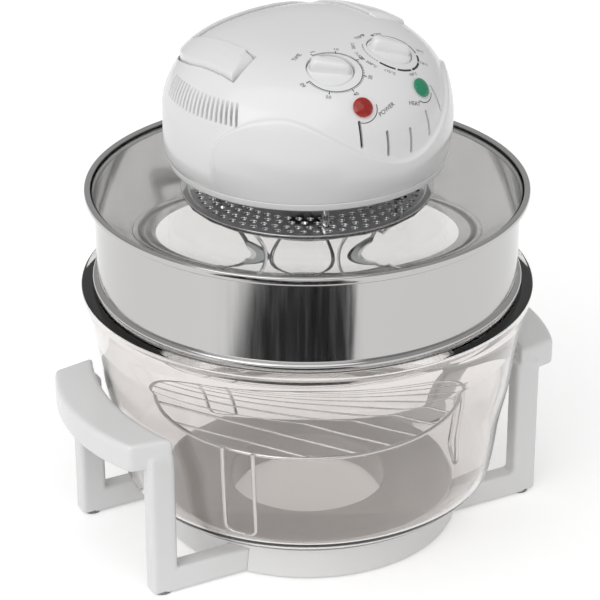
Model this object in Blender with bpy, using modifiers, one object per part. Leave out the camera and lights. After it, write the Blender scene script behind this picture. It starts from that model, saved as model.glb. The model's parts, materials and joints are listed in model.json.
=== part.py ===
# Halogen table-top oven: glass bowl in a two-handled stand, steel extender ring, and a glass
# lid that carries the motor head. Metres, +Z up, X along the stand's handles, front towards -Y,
# origin on the floor at the middle of the stand.

import math

import bmesh
import bpy
from mathutils import Matrix, Vector

# Shared clearances
touch_gap = 0.0003
cut_overrun = 0.004
weld_distance = 0.0001

# Main size: the rack, ring, lid and stand handles follow the bowl's rim
bowl_rim_radius = 0.1710

# How finely round pieces are faceted
large_round = 36
medium_round = 24
small_round = 12
tiny_round = 8

# Stand: a ring that the bowl sits on, and a handle frame at each side
foot_pad_radius = 0.0065
foot_pad_height = 0.0035
foot_pad_proud = 0.0015
base_bottom_radius = 0.1165
base_top_radius = 0.1145
base_hole_radius = 0.060
base_height = 0.0242
base_edge = 0.002
base_wall = 0.003
arm_width = 0.015
arm_height = 0.0195
arm_outer_y = 0.073
arm_reach_in = 0.078
post_width = 0.021
frame_rounding = 0.003
grip_bottom = 0.1085
grip_height = 0.0220
grip_outer_radius = 0.155
grip_outer_reach = 0.026
grip_outer_x = bowl_rim_radius + grip_outer_reach
grip_inner_radius = 0.200
grip_inner_set_in = 0.009
grip_inner_x = bowl_rim_radius - grip_inner_set_in
post_set_in = 0.0035
post_outer_x = bowl_rim_radius - post_set_in
grip_half_length = 0.074
grip_end_taper = 0.006
grip_rounding = 0.005
stand_screw_x = 0.088
stand_screw_radius = 0.0019
stand_screw_head_radius = 0.0036
stand_screw_head_height = 0.0022
stand_screw_bite = 0.0015

# Glass bowl
bowl_height = 0.1730
bowl_wall = 0.0045
bowl_mouth_inset = 0.0118
bowl_mouth_radius = bowl_rim_radius - bowl_mouth_inset
bowl_rim_rounding = 0.0015
bowl_outline_shares = (
    (0.998, 0.965), (0.980, 0.915), (0.962, 0.840), (0.939, 0.717), (0.916, 0.550), (0.879, 0.370),
    (0.848, 0.150), (0.807, 0.081), (0.743, 0.035), (0.676, 0.0),
)

# Wire rack
rack_ring_wire = 0.0016
rack_cross_wire = 0.0011
rack_wire_sink = 0.0009
rack_ring_points = 36
high_rack_share = 0.693
high_rack_radius = bowl_rim_radius * high_rack_share
high_rack_height = 0.0765
high_rack_wires = 10
high_rack_spacing = 0.0222
high_rack_foot_share = 0.6784
high_rack_foot_radius = bowl_rim_radius * high_rack_foot_share
high_rack_foot_lift = 0.0018
rack_leg_half_width = 0.0125
rack_leg_bend = 0.006
rack_turn = math.radians(-56)
rack_legs = 3
high_rack_leg_start = math.radians(-23)

# Extender ring, drawn on the middle of its sheet
ring_sheet = 0.001
ring_body_gap = 0.0012
ring_body_radius = bowl_mouth_radius - ring_body_gap
ring_collar_drop = 0.0080
ring_bead_reach = 0.0035
ring_bead_radius = ring_body_radius + ring_bead_reach
ring_bead_lift = 0.0005
ring_bead_height = 0.0058
ring_bead_edge = 0.0010
ring_height = 0.0765
ring_shelf_drop = 0.0080
ring_shelf_rise = 0.0006
ring_wall_step = 0.0038
ring_wall_radius = ring_body_radius + ring_wall_step
ring_rim_reach = 0.0037
ring_rim_radius = ring_wall_radius + ring_rim_reach
ring_rim_middle_share = 0.54
ring_rim_middle = ring_wall_radius + ring_rim_reach * ring_rim_middle_share
ring_rim_drop = 0.0009
ring_rim_curl = 0.0032

# Glass lid
lid_edge_gap = 0.0010
lid_radius = ring_wall_radius - lid_edge_gap
lid_thickness = 0.004
lid_hole_radius = 0.0902
lid_edge_share = 0.3

# Heat shield pan in the lid's hole, and the posts that hold the head off it
pan_rim_radius = 0.0942
pan_rim_height = 0.0012
pan_well_radius = 0.0898
pan_sheet = 0.001
pan_depth = 0.0030
pan_shaft_hole = 0.012
pan_hole_radius = 0.0032
pan_hole_sides = 6
pan_row_radii = (0.0840,)
pan_row_holes = (44,)
post_radius = 0.0036
post_x = 0.0366
post_y = 0.0610
post_clear = 0.0085
shield_gap = 0.0257

# Parts under the lid
reflector_sheet = 0.001
reflector_radius = 0.0935
reflector_well = 0.0860
reflector_hole = 0.010
tube_circle = 0.060
tube_radius = 0.005
tube_drop = 0.0180
tube_points = 28
tube_half_gap = math.radians(16)
holder_length = 0.016
holder_width = 0.013
holder_height = 0.0145
holder_turn = math.radians(13)
socket_clear_turn = math.radians(4)
guard_wire = 0.0013
guard_rim_circle = 0.0885
guard_floor_circles = (0.060, 0.022)
guard_depth = 0.0310
guard_bars = 8
guard_points = 24
guard_knee_share = 0.72

# Head housing
head_turn = math.radians(13.5)
flange_bottom_radius = 0.103
flange_top_radius = 0.1045
flange_height = 0.0060
flange_wall = 0.0035
base_plate = 0.003
base_plate_hole = 0.014
cover_wall = 0.003
cover_foot_radius = 0.1042
cover_low_share = 0.4
cover_low_reach = 0.75
shoulder_height = 0.0372
crown_rise = 0.0563
crown_plan_power = 3.48
crown_rise_power = 1.97
crown_tilt_share = 0.04
plan_mean = 0.1045
plan_front = 0.0044
plan_side = -0.0052
plan_nose = 0.0026
skirt_step = 0.0035
skirt_low = 0.0242
skirt_high = 0.0612
skirt_end = 0.0200
skirt_ledge = 0.0012
skirt_peak_angle = math.radians(52)
skirt_end_angle = math.radians(81)
crown_shares = (0.09, 0.24, 0.44, 0.66, 0.86)
cover_sides = 40
vent_count = 5
vent_pitch = math.radians(11.3)
vent_turn = math.radians(2.5)
vent_width = 0.0026
vent_lift = 0.0035
vent_height = 0.0185
vent_reach = 0.024
louvre_count = 19
louvre_start = math.radians(71)
louvre_pitch = math.radians(2.27)
louvre_width = 0.0016
louvre_foot = 0.0530
louvre_height = 0.0175
louvre_rake = math.radians(14)
louvre_inner = 0.0915
louvre_outer = 0.1160
boss_radius = 0.005
boss_circle = 0.0970
boss_height = 0.022
boss_angles = (math.radians(45), math.radians(-45), math.radians(112), math.radians(-112))
cover_screw_radius = 0.0018
cover_screw_head_radius = 0.0036
cover_screw_head_height = 0.0018
cover_screw_bite = 0.012

# Safety handle
handle_outline = (
    (0.0840, 0.0), (0.0840, 0.0230), (0.0815, 0.0380), (0.0740, 0.0550), (0.0600, 0.0700),
    (0.0400, 0.0800), (0.0180, 0.0838),
)
handle_inner_x = 0.0590
handle_inner_y = 0.0620
handle_gap = 0.0012
handle_pocket_wall = 0.0024
handle_side_depth = 0.007
handle_top_depth = 0.008
handle_floor_height = 0.0642
handle_pivot_y = -0.002
handle_pivot_height = 0.0772
handle_end_radius = 0.0132
handle_top_clear = 0.010
handle_pin_radius = 0.0016
handle_pin_inner = 0.0563
handle_pin_outer = 0.0850

# Safety switch under the handle's left arm
switch_x = -0.070
switch_y = 0.030
switch_width = 0.010
switch_length = 0.018
switch_height = 0.011
switch_drop = 0.0245
plunger_radius = 0.0018
plunger_sunk = 0.004
plunger_top_drop = 0.0132
plunger_floor = 0.001

# Controls on the panel
knob_x = 0.0287
knob_y = -0.0570
knob_radius = 0.0168
knob_disc_height = 0.0030
knob_height = 0.0125
knob_grip_width = 0.0105
knob_edge = 0.001
knob_sink = 0.0050
knob_well_gap = 0.0006
knob_well_floor = 0.0024
knob_shaft_radius = 0.0028
knob_shaft_depth = 0.006
knob_bore_depth = 0.0075
timer_grip_turn = math.radians(-21.5)
thermostat_grip_turn = math.radians(-58)
control_drop = 0.0125
timer_radius = 0.0150
timer_depth = 0.022
thermostat_radius = 0.0125
thermostat_depth = 0.018
lens_x = 0.0282
lens_y = -0.0900
lens_radius = 0.0072
lens_body_radius = 0.0058
lens_crown = 0.0024
lens_edge = 0.0010
lens_lift = 0.0006
lens_depth = 0.010
lens_mid_share = 0.85
lens_wide_share = 0.85
lens_low_share = 0.4

# Motor and fans
shaft_radius = 0.003
shaft_bottom_drop = 0.0245
shaft_top_rise = 0.0480
rotor_radius = 0.0135
rotor_height = 0.017
stator_bore = 0.0142
stator_radius = 0.029
stator_height = 0.020
bracket_radius = 0.050
bracket_plate = 0.003
bracket_lift = 0.0200
bracket_legs = 3
bracket_leg_width = 0.008
bracket_leg_circle = 0.045
bush_radius = 0.006
circulation_hub_radius = 0.008
circulation_hub_height = 0.009
circulation_fan_radius = 0.050
circulation_blades = 6
circulation_drop = 0.0020
cooling_hub_radius = 0.007
cooling_hub_height = 0.009
cooling_fan_radius = 0.037
cooling_blades = 5
cooling_lift = 0.005
blade_sheet = 0.0012
blade_height = 0.0075
blade_pitch = math.radians(55)
nut_radius = 0.0055
nut_height = 0.004
nut_sides = 6

# Terminal block and cord inlet
terminal_length = 0.030
terminal_width = 0.014
terminal_height = 0.012
terminal_x = 0.0
terminal_y = 0.072
inlet_height = 0.0120
inlet_radius = 0.0055
inlet_bore = 0.0033
inlet_flange_radius = 0.0078
inlet_flange = 0.003
inlet_inner_y = 0.088
inlet_face_y = 0.1048

# Heights that follow from the sizes above
stand_floor = foot_pad_proud
base_top = stand_floor + base_height
bowl_bottom = base_top + touch_gap
bowl_rim_top = bowl_bottom + bowl_height
bowl_floor = bowl_bottom + bowl_wall
ring_seat = bowl_rim_top + touch_gap
ring_top = ring_seat + ring_height
ring_shelf = ring_top - ring_shelf_drop
lid_bottom = ring_shelf + ring_shelf_rise + ring_sheet / 2 + touch_gap
lid_top = lid_bottom + lid_thickness
pan_rim_bottom = lid_top + touch_gap
pan_plate_top = pan_rim_bottom + pan_rim_height - pan_depth
pan_plate_bottom = pan_plate_top - pan_sheet
flange_bottom = pan_plate_top + shield_gap
flange_top = flange_bottom + flange_height
base_plate_top = flange_bottom + base_plate
cover_bottom = flange_top + touch_gap
reflector_top = pan_plate_bottom - touch_gap
reflector_under = reflector_top - reflector_sheet
handle_floor = cover_bottom + handle_floor_height
handle_pivot_z = cover_bottom + handle_pivot_height


# The scene and its collections

def clear_scene():
    for obj in list(bpy.data.objects):
        bpy.data.objects.remove(obj, do_unlink=True)


def new_collection(name, hidden):
    group = bpy.data.collections.new(name)
    bpy.context.scene.collection.children.link(group)
    group.hide_render = hidden
    return group


clear_scene()
parts = new_collection("halogen_oven", False)
cutters = new_collection("cutters", True)
work = {"holder": None}


# Materials

def finish(obj, colour, roughness, metallic=0.0, transmission=0.0):
    material = bpy.data.materials.new(obj.name)
    material.use_nodes = True
    shader = material.node_tree.nodes["Principled BSDF"]
    shader.inputs["Base Color"].default_value = (*colour, 1.0)
    shader.inputs["Roughness"].default_value = roughness
    shader.inputs["Metallic"].default_value = metallic
    shader.inputs["Transmission Weight"].default_value = transmission
    obj.data.materials.clear()
    obj.data.materials.append(material)
    return obj


def white_plastic(obj):
    return finish(obj, (0.86, 0.86, 0.86), 0.3)


def steel(obj):
    return finish(obj, (0.62, 0.62, 0.63), 0.18, metallic=1.0)


def chrome(obj):
    return finish(obj, (0.75, 0.75, 0.76), 0.08, metallic=1.0)


def dark_plastic(obj):
    return finish(obj, (0.05, 0.05, 0.055), 0.5)


def rubber(obj):
    return finish(obj, (0.35, 0.35, 0.35), 0.8)


def brass(obj):
    return finish(obj, (0.72, 0.52, 0.22), 0.35, metallic=1.0)


# Building blocks

def smooth_share(share):
    # An easing curve from 0 to 1 with level ends.
    share = min(max(share, 0.0), 1.0)
    return (1 - math.cos(math.pi * share)) / 2


def place(obj, location, turn=0.0):
    obj.location = location
    obj.rotation_euler.z = turn
    return obj


def link(obj, group):
    group.objects.link(obj)
    obj.parent = work["holder"]
    if group is cutters:
        obj.hide_render = True
        obj.display_type = "WIRE"
    return obj


def mesh_object(name, build, group):
    # One object from a bmesh that the given function fills.
    mesh = bpy.data.meshes.new(name)
    shape = bmesh.new()
    build(shape)
    bmesh.ops.recalc_face_normals(shape, faces=shape.faces)
    shape.to_mesh(mesh)
    shape.free()
    return link(bpy.data.objects.new(name, mesh), group)


def round_off(obj, width, segments=2):
    bevel = obj.modifiers.new("rounding", "BEVEL")
    bevel.width = width
    bevel.segments = segments
    bevel.limit_method = "ANGLE"
    bevel.harden_normals = False
    return obj


def block(name, size, centre, group, rounding=0.0, segments=2):
    def build(shape):
        bmesh.ops.create_cube(shape, size=1.0)
        bmesh.ops.scale(shape, vec=size, verts=shape.verts)
        bmesh.ops.translate(shape, vec=centre, verts=shape.verts)

    obj = mesh_object(name, build, group)
    if rounding:
        round_off(obj, rounding, segments)
    return obj


def cylinder(name, radius, bottom, top, group, sides=small_round, matrix=None):
    def build(shape):
        bmesh.ops.create_cone(
            shape, cap_ends=True, segments=sides, radius1=radius, radius2=radius, depth=top - bottom
        )
        bmesh.ops.translate(shape, vec=(0, 0, (top + bottom) / 2), verts=shape.verts)
        if matrix is not None:
            bmesh.ops.transform(shape, matrix=matrix, verts=shape.verts)

    return mesh_object(name, build, group)


def turned(name, profile, group, sides=medium_round, closed=True):
    # A profile of (radius, height) turned about Z; it runs down its outer side.
    mesh = bpy.data.meshes.new(name)
    shape = bmesh.new()
    corners = [shape.verts.new((radius, 0, height)) for radius, height in profile]
    for first, second in zip(corners, corners[1:]):
        shape.edges.new((first, second))
    if closed:
        shape.edges.new((corners[-1], corners[0]))
    shape.to_mesh(mesh)
    shape.free()
    obj = link(bpy.data.objects.new(name, mesh), group)
    screw = obj.modifiers.new("turning", "SCREW")
    screw.axis = "Z"
    screw.angle = math.tau
    screw.steps = sides
    screw.render_steps = sides
    screw.use_merge_vertices = True
    screw.merge_threshold = weld_distance
    return obj


def as_mesh(obj, group):
    # The evaluated object as a plain mesh with its caps welded.
    graph = bpy.context.evaluated_depsgraph_get()
    mesh = bpy.data.meshes.new_from_object(obj.evaluated_get(graph))
    shape = bmesh.new()
    shape.from_mesh(mesh)
    bmesh.ops.remove_doubles(shape, verts=shape.verts, dist=weld_distance)
    bmesh.ops.recalc_face_normals(shape, faces=shape.faces)
    shape.to_mesh(mesh)
    shape.free()
    name = obj.name
    made = bpy.data.objects.new(name + "_mesh", mesh)
    made.matrix_basis = obj.matrix_basis.copy()
    bpy.data.objects.remove(obj, do_unlink=True)
    made.name = name
    return link(made, group)


def wire(name, points, radius, group, closed=False):
    curve = bpy.data.curves.new(name, "CURVE")
    curve.dimensions = "3D"
    curve.bevel_depth = radius
    curve.bevel_resolution = 1
    curve.use_fill_caps = not closed
    spline = curve.splines.new("POLY")
    spline.points.add(len(points) - 1)
    for point, place_of in zip(spline.points, points):
        point.co = (*place_of, 1.0)
    spline.use_cyclic_u = closed
    return as_mesh(link(bpy.data.objects.new(name, curve), group), group)


def flat_outline(name, points, bottom, height, group):
    # A closed flat outline with thickness upwards from the given height.
    curve = bpy.data.curves.new(name, "CURVE")
    curve.dimensions = "2D"
    curve.fill_mode = "BOTH"
    curve.extrude = height / 2
    spline = curve.splines.new("POLY")
    spline.points.add(len(points) - 1)
    for point, (x, y) in zip(spline.points, points):
        point.co = (x, y, 0, 1.0)
    spline.use_cyclic_u = True
    obj = link(bpy.data.objects.new(name, curve), group)
    obj.location.z = bottom + height / 2
    return as_mesh(obj, group)


def circle_points(radius, height, count):
    angles = [math.tau * step / count for step in range(count)]
    return [(radius * math.cos(a), radius * math.sin(a), height) for a in angles]


def boolean(obj, other, operation):
    modifier = obj.modifiers.new(operation.lower() + "_" + other.name, "BOOLEAN")
    modifier.operation = operation
    modifier.object = other
    modifier.solver = "EXACT"
    return obj


def cut(obj, other):
    return boolean(obj, other, "DIFFERENCE")


def join(obj, other):
    return boolean(obj, other, "UNION")


def smooth_round(obj):
    # Round pieces are shaded smooth, with their real edges kept sharp.
    obj.data.shade_smooth()
    obj.data.set_sharp_from_angle(angle=math.radians(35))
    return obj


def spin(point, angle):
    return Matrix.Rotation(angle, 3, "Z") @ Vector(point)


# Stand

def build_stand_base():
    profile = (
        (base_top_radius, base_top - base_edge),
        (base_bottom_radius, stand_floor),
        (base_bottom_radius - base_wall, stand_floor),
        (base_top_radius - base_wall, base_top - base_wall),
        (base_hole_radius + base_wall, base_top - base_wall),
        (base_hole_radius + base_wall, stand_floor),
        (base_hole_radius, stand_floor),
        (base_hole_radius, base_top - base_edge),
        (base_hole_radius + base_edge, base_top),
        (base_top_radius - base_edge, base_top),
    )
    base = turned("stand_base", profile, parts, large_round)
    arm_y = arm_outer_y - arm_width / 2
    arm_top = stand_floor + arm_height
    slot_start = arm_reach_in - touch_gap
    slot_end = base_bottom_radius + cut_overrun
    slot_floor = stand_floor - cut_overrun
    slot_top = arm_top + touch_gap
    hole_top = arm_top + touch_gap + stand_screw_bite
    for side, row, name in corners_of_stand():
        notch = block(
            "arm_slot_" + name,
            (slot_end - slot_start, arm_width + 2 * touch_gap, slot_top - slot_floor),
            (side * (slot_end + slot_start) / 2, row * arm_y, (slot_top + slot_floor) / 2),
            cutters,
        )
        cut(base, notch)
        hole = cylinder(
            "base_screw_hole_" + name, stand_screw_radius + touch_gap, arm_top, hole_top + touch_gap,
            cutters, tiny_round, Matrix.Translation((side * stand_screw_x, row * arm_y, 0)),
        )
        cut(base, hole)
    return white_plastic(smooth_round(base))


def corners_of_stand():
    return (
        (1, 1, "right_rear"), (1, -1, "right_front"), (-1, 1, "left_rear"), (-1, -1, "left_front"),
    )


def grip_outline(side):
    # The grip seen from above: an outer and an inner arc, joined across its two ends.
    points = []
    outer_centre = grip_outer_x - grip_outer_radius
    inner_centre = grip_inner_x - grip_inner_radius
    outer_half = grip_half_length - grip_end_taper
    steps = 8
    for step in range(steps + 1):
        y = outer_half * (2 * step / steps - 1)
        points.append((side * (outer_centre + math.sqrt(grip_outer_radius**2 - y * y)), y))
    for step in range(steps + 1):
        y = grip_half_length * (1 - 2 * step / steps)
        points.append((side * (inner_centre + math.sqrt(grip_inner_radius**2 - y * y)), y))
    return points


def build_stand_frame(name, side):
    grip = flat_outline(name, grip_outline(side), grip_bottom, grip_height, parts)
    round_off(grip, grip_rounding)
    arm_y = arm_outer_y - arm_width / 2
    arm_top = stand_floor + arm_height
    post_x = post_outer_x - post_width / 2
    post_top = grip_bottom + grip_height / 2
    for row, row_name in ((1, "rear"), (-1, "front")):
        row_y = row * arm_y
        post = block(
            f"{name}_{row_name}_post",
            (post_width, arm_width, post_top - stand_floor),
            (side * post_x, row_y, (post_top + stand_floor) / 2),
            cutters, frame_rounding, 1,
        )
        join(grip, post)
        arm = block(
            f"{name}_{row_name}_arm",
            (post_x - arm_reach_in, arm_width, arm_height),
            (side * (post_x + arm_reach_in) / 2, row_y, (stand_floor + arm_top) / 2),
            cutters,
        )
        join(grip, arm)
        pad_hole = cylinder(
            f"{name}_{row_name}_pad_hole", foot_pad_radius + touch_gap, stand_floor - cut_overrun,
            foot_pad_height + touch_gap, cutters, small_round,
            Matrix.Translation((side * post_x, row_y, 0)),
        )
        cut(grip, pad_hole)
        at_screw = Matrix.Translation((side * stand_screw_x, row_y, 0))
        screw_hole = cylinder(
            f"{name}_{row_name}_screw_hole", stand_screw_radius + touch_gap, stand_floor - cut_overrun,
            arm_top + cut_overrun, cutters, tiny_round, at_screw,
        )
        cut(grip, screw_hole)
        head_hole = cylinder(
            f"{name}_{row_name}_head_hole", stand_screw_head_radius + touch_gap,
            stand_floor - cut_overrun, stand_floor + stand_screw_head_height + touch_gap,
            cutters, tiny_round, at_screw,
        )
        cut(grip, head_hole)
    return white_plastic(grip)


def build_foot_pads():
    pad_x = post_outer_x - post_width / 2
    pad_y = arm_outer_y - arm_width / 2
    for side, row, name in corners_of_stand():
        pad = cylinder("foot_pad_" + name, foot_pad_radius, 0, foot_pad_height, parts)
        rubber(smooth_round(place(pad, (side * pad_x, row * pad_y, 0))))


def screw_profile(radius, head_radius, head_height, length):
    # A pan-head screw that points up, its head underneath.
    return (
        (0, length), (radius, length), (radius, head_height),
        (head_radius, head_height), (head_radius, 0), (0, 0),
    )


def build_stand_screws():
    arm_y = arm_outer_y - arm_width / 2
    length = arm_height + stand_screw_bite
    profile = screw_profile(stand_screw_radius, stand_screw_head_radius, stand_screw_head_height, length)
    for side, row, name in corners_of_stand():
        screw = turned("stand_screw_" + name, profile, parts, tiny_round, closed=False)
        steel(smooth_round(place(screw, (side * stand_screw_x, row * arm_y, stand_floor))))


# Glass bowl

def build_bowl():
    outline = [
        Vector((bowl_rim_radius * r, bowl_bottom + bowl_height * z)) for r, z in bowl_outline_shares
    ]
    inner = []
    for index, point in enumerate(outline):
        before = outline[max(index - 1, 0)]
        after = outline[min(index + 1, len(outline) - 1)]
        along = (after - before).normalized()
        inner.append(point + bowl_wall * Vector((along.y, -along.x)))
    inner[0] = Vector((bowl_mouth_radius, bowl_rim_top - 3 * bowl_wall))
    inner[-1].y = bowl_floor
    profile = [(0, bowl_floor)]
    profile += [(point.x, point.y) for point in reversed(inner)]
    profile += [
        (bowl_mouth_radius, bowl_rim_top - bowl_rim_rounding),
        (bowl_mouth_radius + bowl_rim_rounding, bowl_rim_top),
        (bowl_rim_radius - bowl_rim_rounding, bowl_rim_top),
        (bowl_rim_radius, bowl_rim_top - bowl_rim_rounding),
    ]
    profile += [(point.x, point.y) for point in outline]
    profile.append((0, bowl_bottom))
    bowl = turned("glass_bowl", profile, parts, large_round, closed=False)
    return finish(smooth_round(bowl), (0.62, 0.58, 0.55), 0.03, transmission=0.9)


# Wire rack

def build_rack(name, radius, lift, wires, spacing, foot_radius, foot_lift, leg_start):
    height = bowl_floor + lift
    foot_height = bowl_floor + foot_lift + rack_ring_wire
    rack = wire(name, circle_points(radius, height, rack_ring_points), rack_ring_wire, parts, closed=True)
    pieces = new_collection(name + "_wires", True)
    wire_height = height - rack_ring_wire - rack_cross_wire + rack_wire_sink
    for index in range(wires):
        across = spacing * (index - (wires - 1) / 2)
        half = math.sqrt(radius**2 - across**2)
        ends = [spin((end * half, across, 0), rack_turn) for end in (-1, 1)]
        points = [(end.x, end.y, wire_height) for end in ends]
        wire(f"{name}_wire_{index + 1}", points, rack_cross_wire, pieces)
    leg_radius = radius + 2 * rack_ring_wire - rack_wire_sink
    leg_top = height + rack_ring_wire
    for index in range(rack_legs):
        angle = leg_start + math.tau * index / rack_legs
        half = rack_leg_half_width
        path = (
            (leg_radius, -half, leg_top),
            (foot_radius, -half, foot_height + rack_leg_bend),
            (foot_radius, -half + rack_leg_bend, foot_height),
            (foot_radius, half - rack_leg_bend, foot_height),
            (foot_radius, half, foot_height + rack_leg_bend),
            (leg_radius, half, leg_top),
        )
        points = [tuple(spin(point, angle)) for point in path]
        wire(f"{name}_leg_{index + 1}", points, rack_ring_wire, pieces)
    union = rack.modifiers.new("wires", "BOOLEAN")
    union.operation = "UNION"
    union.operand_type = "COLLECTION"
    union.collection = pieces
    union.solver = "EXACT"
    return chrome(smooth_round(rack))


# Extender ring

def build_ring():
    bead_bottom = ring_seat + ring_bead_lift
    bead_top = bead_bottom + ring_bead_height
    profile = (
        (ring_rim_radius, ring_top - ring_rim_curl),
        (ring_rim_radius, ring_top - ring_rim_drop),
        (ring_rim_middle, ring_top),
        (ring_wall_radius, ring_top - ring_rim_drop),
        (ring_wall_radius, ring_shelf + ring_shelf_rise),
        (ring_body_radius, ring_shelf),
        (ring_body_radius, bead_top + ring_bead_edge),
        (ring_bead_radius, bead_top),
        (ring_bead_radius, bead_bottom),
        (ring_body_radius, bead_bottom),
        (ring_body_radius, ring_seat - ring_collar_drop),
    )
    ring = turned("extender_ring", profile, parts, large_round, closed=False)
    sheet = ring.modifiers.new("sheet", "SOLIDIFY")
    sheet.thickness = ring_sheet
    sheet.offset = 0
    sheet.use_even_offset = True
    return steel(smooth_round(ring))


# Lid, heat shield and what hangs under them

def build_lid():
    edge = lid_thickness * lid_edge_share
    profile = (
        (lid_radius - edge, lid_top),
        (lid_radius, lid_top - edge),
        (lid_radius, lid_bottom + edge),
        (lid_radius - edge, lid_bottom),
        (lid_hole_radius, lid_bottom),
        (lid_hole_radius, lid_top),
    )
    lid = turned("glass_lid", profile, parts, large_round)
    return finish(smooth_round(lid), (0.90, 0.92, 0.91), 0.02, transmission=1.0)


def build_heat_shield():
    rim_top = pan_rim_bottom + pan_rim_height
    profile = (
        (pan_rim_radius, rim_top),
        (pan_rim_radius, pan_rim_bottom),
        (pan_well_radius, pan_rim_bottom),
        (pan_well_radius - pan_sheet, pan_plate_bottom),
        (pan_shaft_hole, pan_plate_bottom),
        (pan_shaft_hole, pan_plate_top),
        (pan_well_radius - 2 * pan_sheet, pan_plate_top),
        (pan_well_radius - pan_sheet, rim_top),
    )
    pan = turned("heat_shield_pan", profile, parts, large_round)
    bottom = pan_plate_bottom - cut_overrun
    top = pan_plate_top + cut_overrun

    def build(shape):
        for row_radius, count in zip(pan_row_radii, pan_row_holes):
            for step in range(count):
                centre = spin((row_radius, 0, 0), math.tau * step / count)
                if any((centre - post).length < post_clear for post in post_places()):
                    continue
                made = bmesh.ops.create_cone(
                    shape, cap_ends=True, segments=pan_hole_sides, radius1=pan_hole_radius,
                    radius2=pan_hole_radius, depth=top - bottom,
                )
                bmesh.ops.translate(
                    shape, vec=(centre.x, centre.y, (top + bottom) / 2), verts=made["verts"]
                )

    cut(pan, mesh_object("pan_holes", build, cutters))
    return chrome(pan)


def post_places():
    return [Vector((side * post_x, row * post_y, 0)) for side in (1, -1) for row in (1, -1)]


def build_posts():
    names = ("right_rear", "right_front", "left_rear", "left_front")
    for name, centre in zip(names, post_places()):
        post = cylinder(
            "spacer_post_" + name, post_radius, pan_plate_top + touch_gap, flange_bottom - touch_gap, parts
        )
        steel(smooth_round(place(post, (centre.x, centre.y, 0))))


def build_reflector():
    flange_top_height = lid_bottom - touch_gap
    flange_under = flange_top_height - reflector_sheet
    profile = (
        (reflector_radius, flange_top_height),
        (reflector_radius, flange_under),
        (reflector_well - reflector_sheet, flange_under),
        (reflector_well - 2 * reflector_sheet, reflector_under),
        (reflector_hole, reflector_under),
        (reflector_hole, reflector_top),
        (reflector_well - reflector_sheet, reflector_top),
        (reflector_well, flange_top_height),
    )
    reflector = turned("reflector_plate", profile, parts, medium_round)
    return steel(smooth_round(reflector))


def build_halogen_tube():
    # An open ring of quartz tube; its two ends sit in the ceramic holders at the rear.
    height = reflector_under - tube_drop
    points = []
    for step in range(tube_points):
        angle = math.pi / 2 + tube_half_gap + (math.tau - 2 * tube_half_gap) * step / (tube_points - 1)
        points.append((tube_circle * math.cos(angle), tube_circle * math.sin(angle), height))
    tube = wire("halogen_tube", points, tube_radius, parts)
    return finish(smooth_round(tube), (0.92, 0.90, 0.86), 0.05, transmission=0.9)


def build_lamp_holders():
    top = reflector_under - touch_gap
    height = reflector_under - tube_drop
    bottom = height - holder_height / 2
    for side, name in ((1, "right"), (-1, "left")):
        angle = math.pi / 2 - side * holder_turn
        lamp_holder = block(
            "lamp_holder_" + name, (holder_width, holder_length, top - bottom),
            (0, 0, (top + bottom) / 2), parts,
        )
        place(lamp_holder, (tube_circle * math.cos(angle), tube_circle * math.sin(angle), 0), angle)
        socket = wire(
            "lamp_socket_" + name,
            [
                (
                    tube_circle * math.cos(math.pi / 2 - side * turn),
                    tube_circle * math.sin(math.pi / 2 - side * turn),
                    height,
                )
                for turn in (tube_half_gap - socket_clear_turn, tube_half_gap + holder_turn)
            ],
            tube_radius + 2 * touch_gap, cutters,
        )
        cut(lamp_holder, socket)
        finish(lamp_holder, (0.93, 0.92, 0.88), 0.6)


def build_guard():
    rim_height = lid_bottom - touch_gap - reflector_sheet - touch_gap - guard_wire
    floor_height = rim_height - guard_depth
    rim = circle_points(guard_rim_circle, rim_height, guard_points)
    guard = wire("wire_guard", rim, guard_wire, parts, closed=True)
    pieces = new_collection("wire_guard_wires", True)
    bar_height = floor_height + 2 * guard_wire - rack_wire_sink
    for index, radius in enumerate(guard_floor_circles, 1):
        count = guard_points // 2 + 2 * (len(guard_floor_circles) - index)
        circle = circle_points(radius, floor_height, count)
        wire(f"wire_guard_circle_{index}", circle, guard_wire, pieces, closed=True)
    inner_end = guard_floor_circles[-1]
    knee = guard_rim_circle * guard_knee_share
    for index in range(guard_bars):
        angle = math.tau * (index + 1 / 2) / guard_bars
        path = (
            (guard_rim_circle, 0, rim_height), (knee + guard_wire, 0, bar_height),
            (inner_end, 0, bar_height),
        )
        points = [tuple(spin(point, angle)) for point in path]
        wire(f"wire_guard_bar_{index + 1}", points, guard_wire, pieces)
    union = guard.modifiers.new("wires", "BOOLEAN")
    union.operation = "UNION"
    union.operand_type = "COLLECTION"
    union.collection = pieces
    union.solver = "EXACT"
    return chrome(smooth_round(guard))


# Head: its plan outline and crown, shared by the cover, its hollow and the handle

def plan_radius(angle):
    # The angle is measured from the front of the head.
    return (
        plan_mean + plan_front * math.cos(angle) + plan_side * math.cos(2 * angle)
        + plan_nose * math.cos(3 * angle)
    )


def crown_height(reach, angle, inset=0.0, drop=0.0):
    # Height of the crown at a distance from the head's axis.
    share = min(reach / (plan_radius(angle) - inset), 1.0)
    rise = (1 - share**crown_plan_power) ** (1 / crown_rise_power)
    tilt = crown_tilt_share * reach * math.cos(angle)
    return cover_bottom + shoulder_height - drop + crown_rise * rise - tilt


def ledge_height(angle):
    # The top of the skirt: low at the front, high at the front quarters, gone at the sides.
    turn = abs(angle)
    if turn <= skirt_peak_angle:
        share = smooth_share(turn / skirt_peak_angle)
        return cover_bottom + skirt_low + (skirt_high - skirt_low) * share
    if turn <= skirt_end_angle:
        share = (turn - skirt_peak_angle) / (skirt_end_angle - skirt_peak_angle)
        return cover_bottom + skirt_end + (skirt_high - skirt_end) * math.sqrt(1 - share * share)
    return cover_bottom + skirt_end


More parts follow.
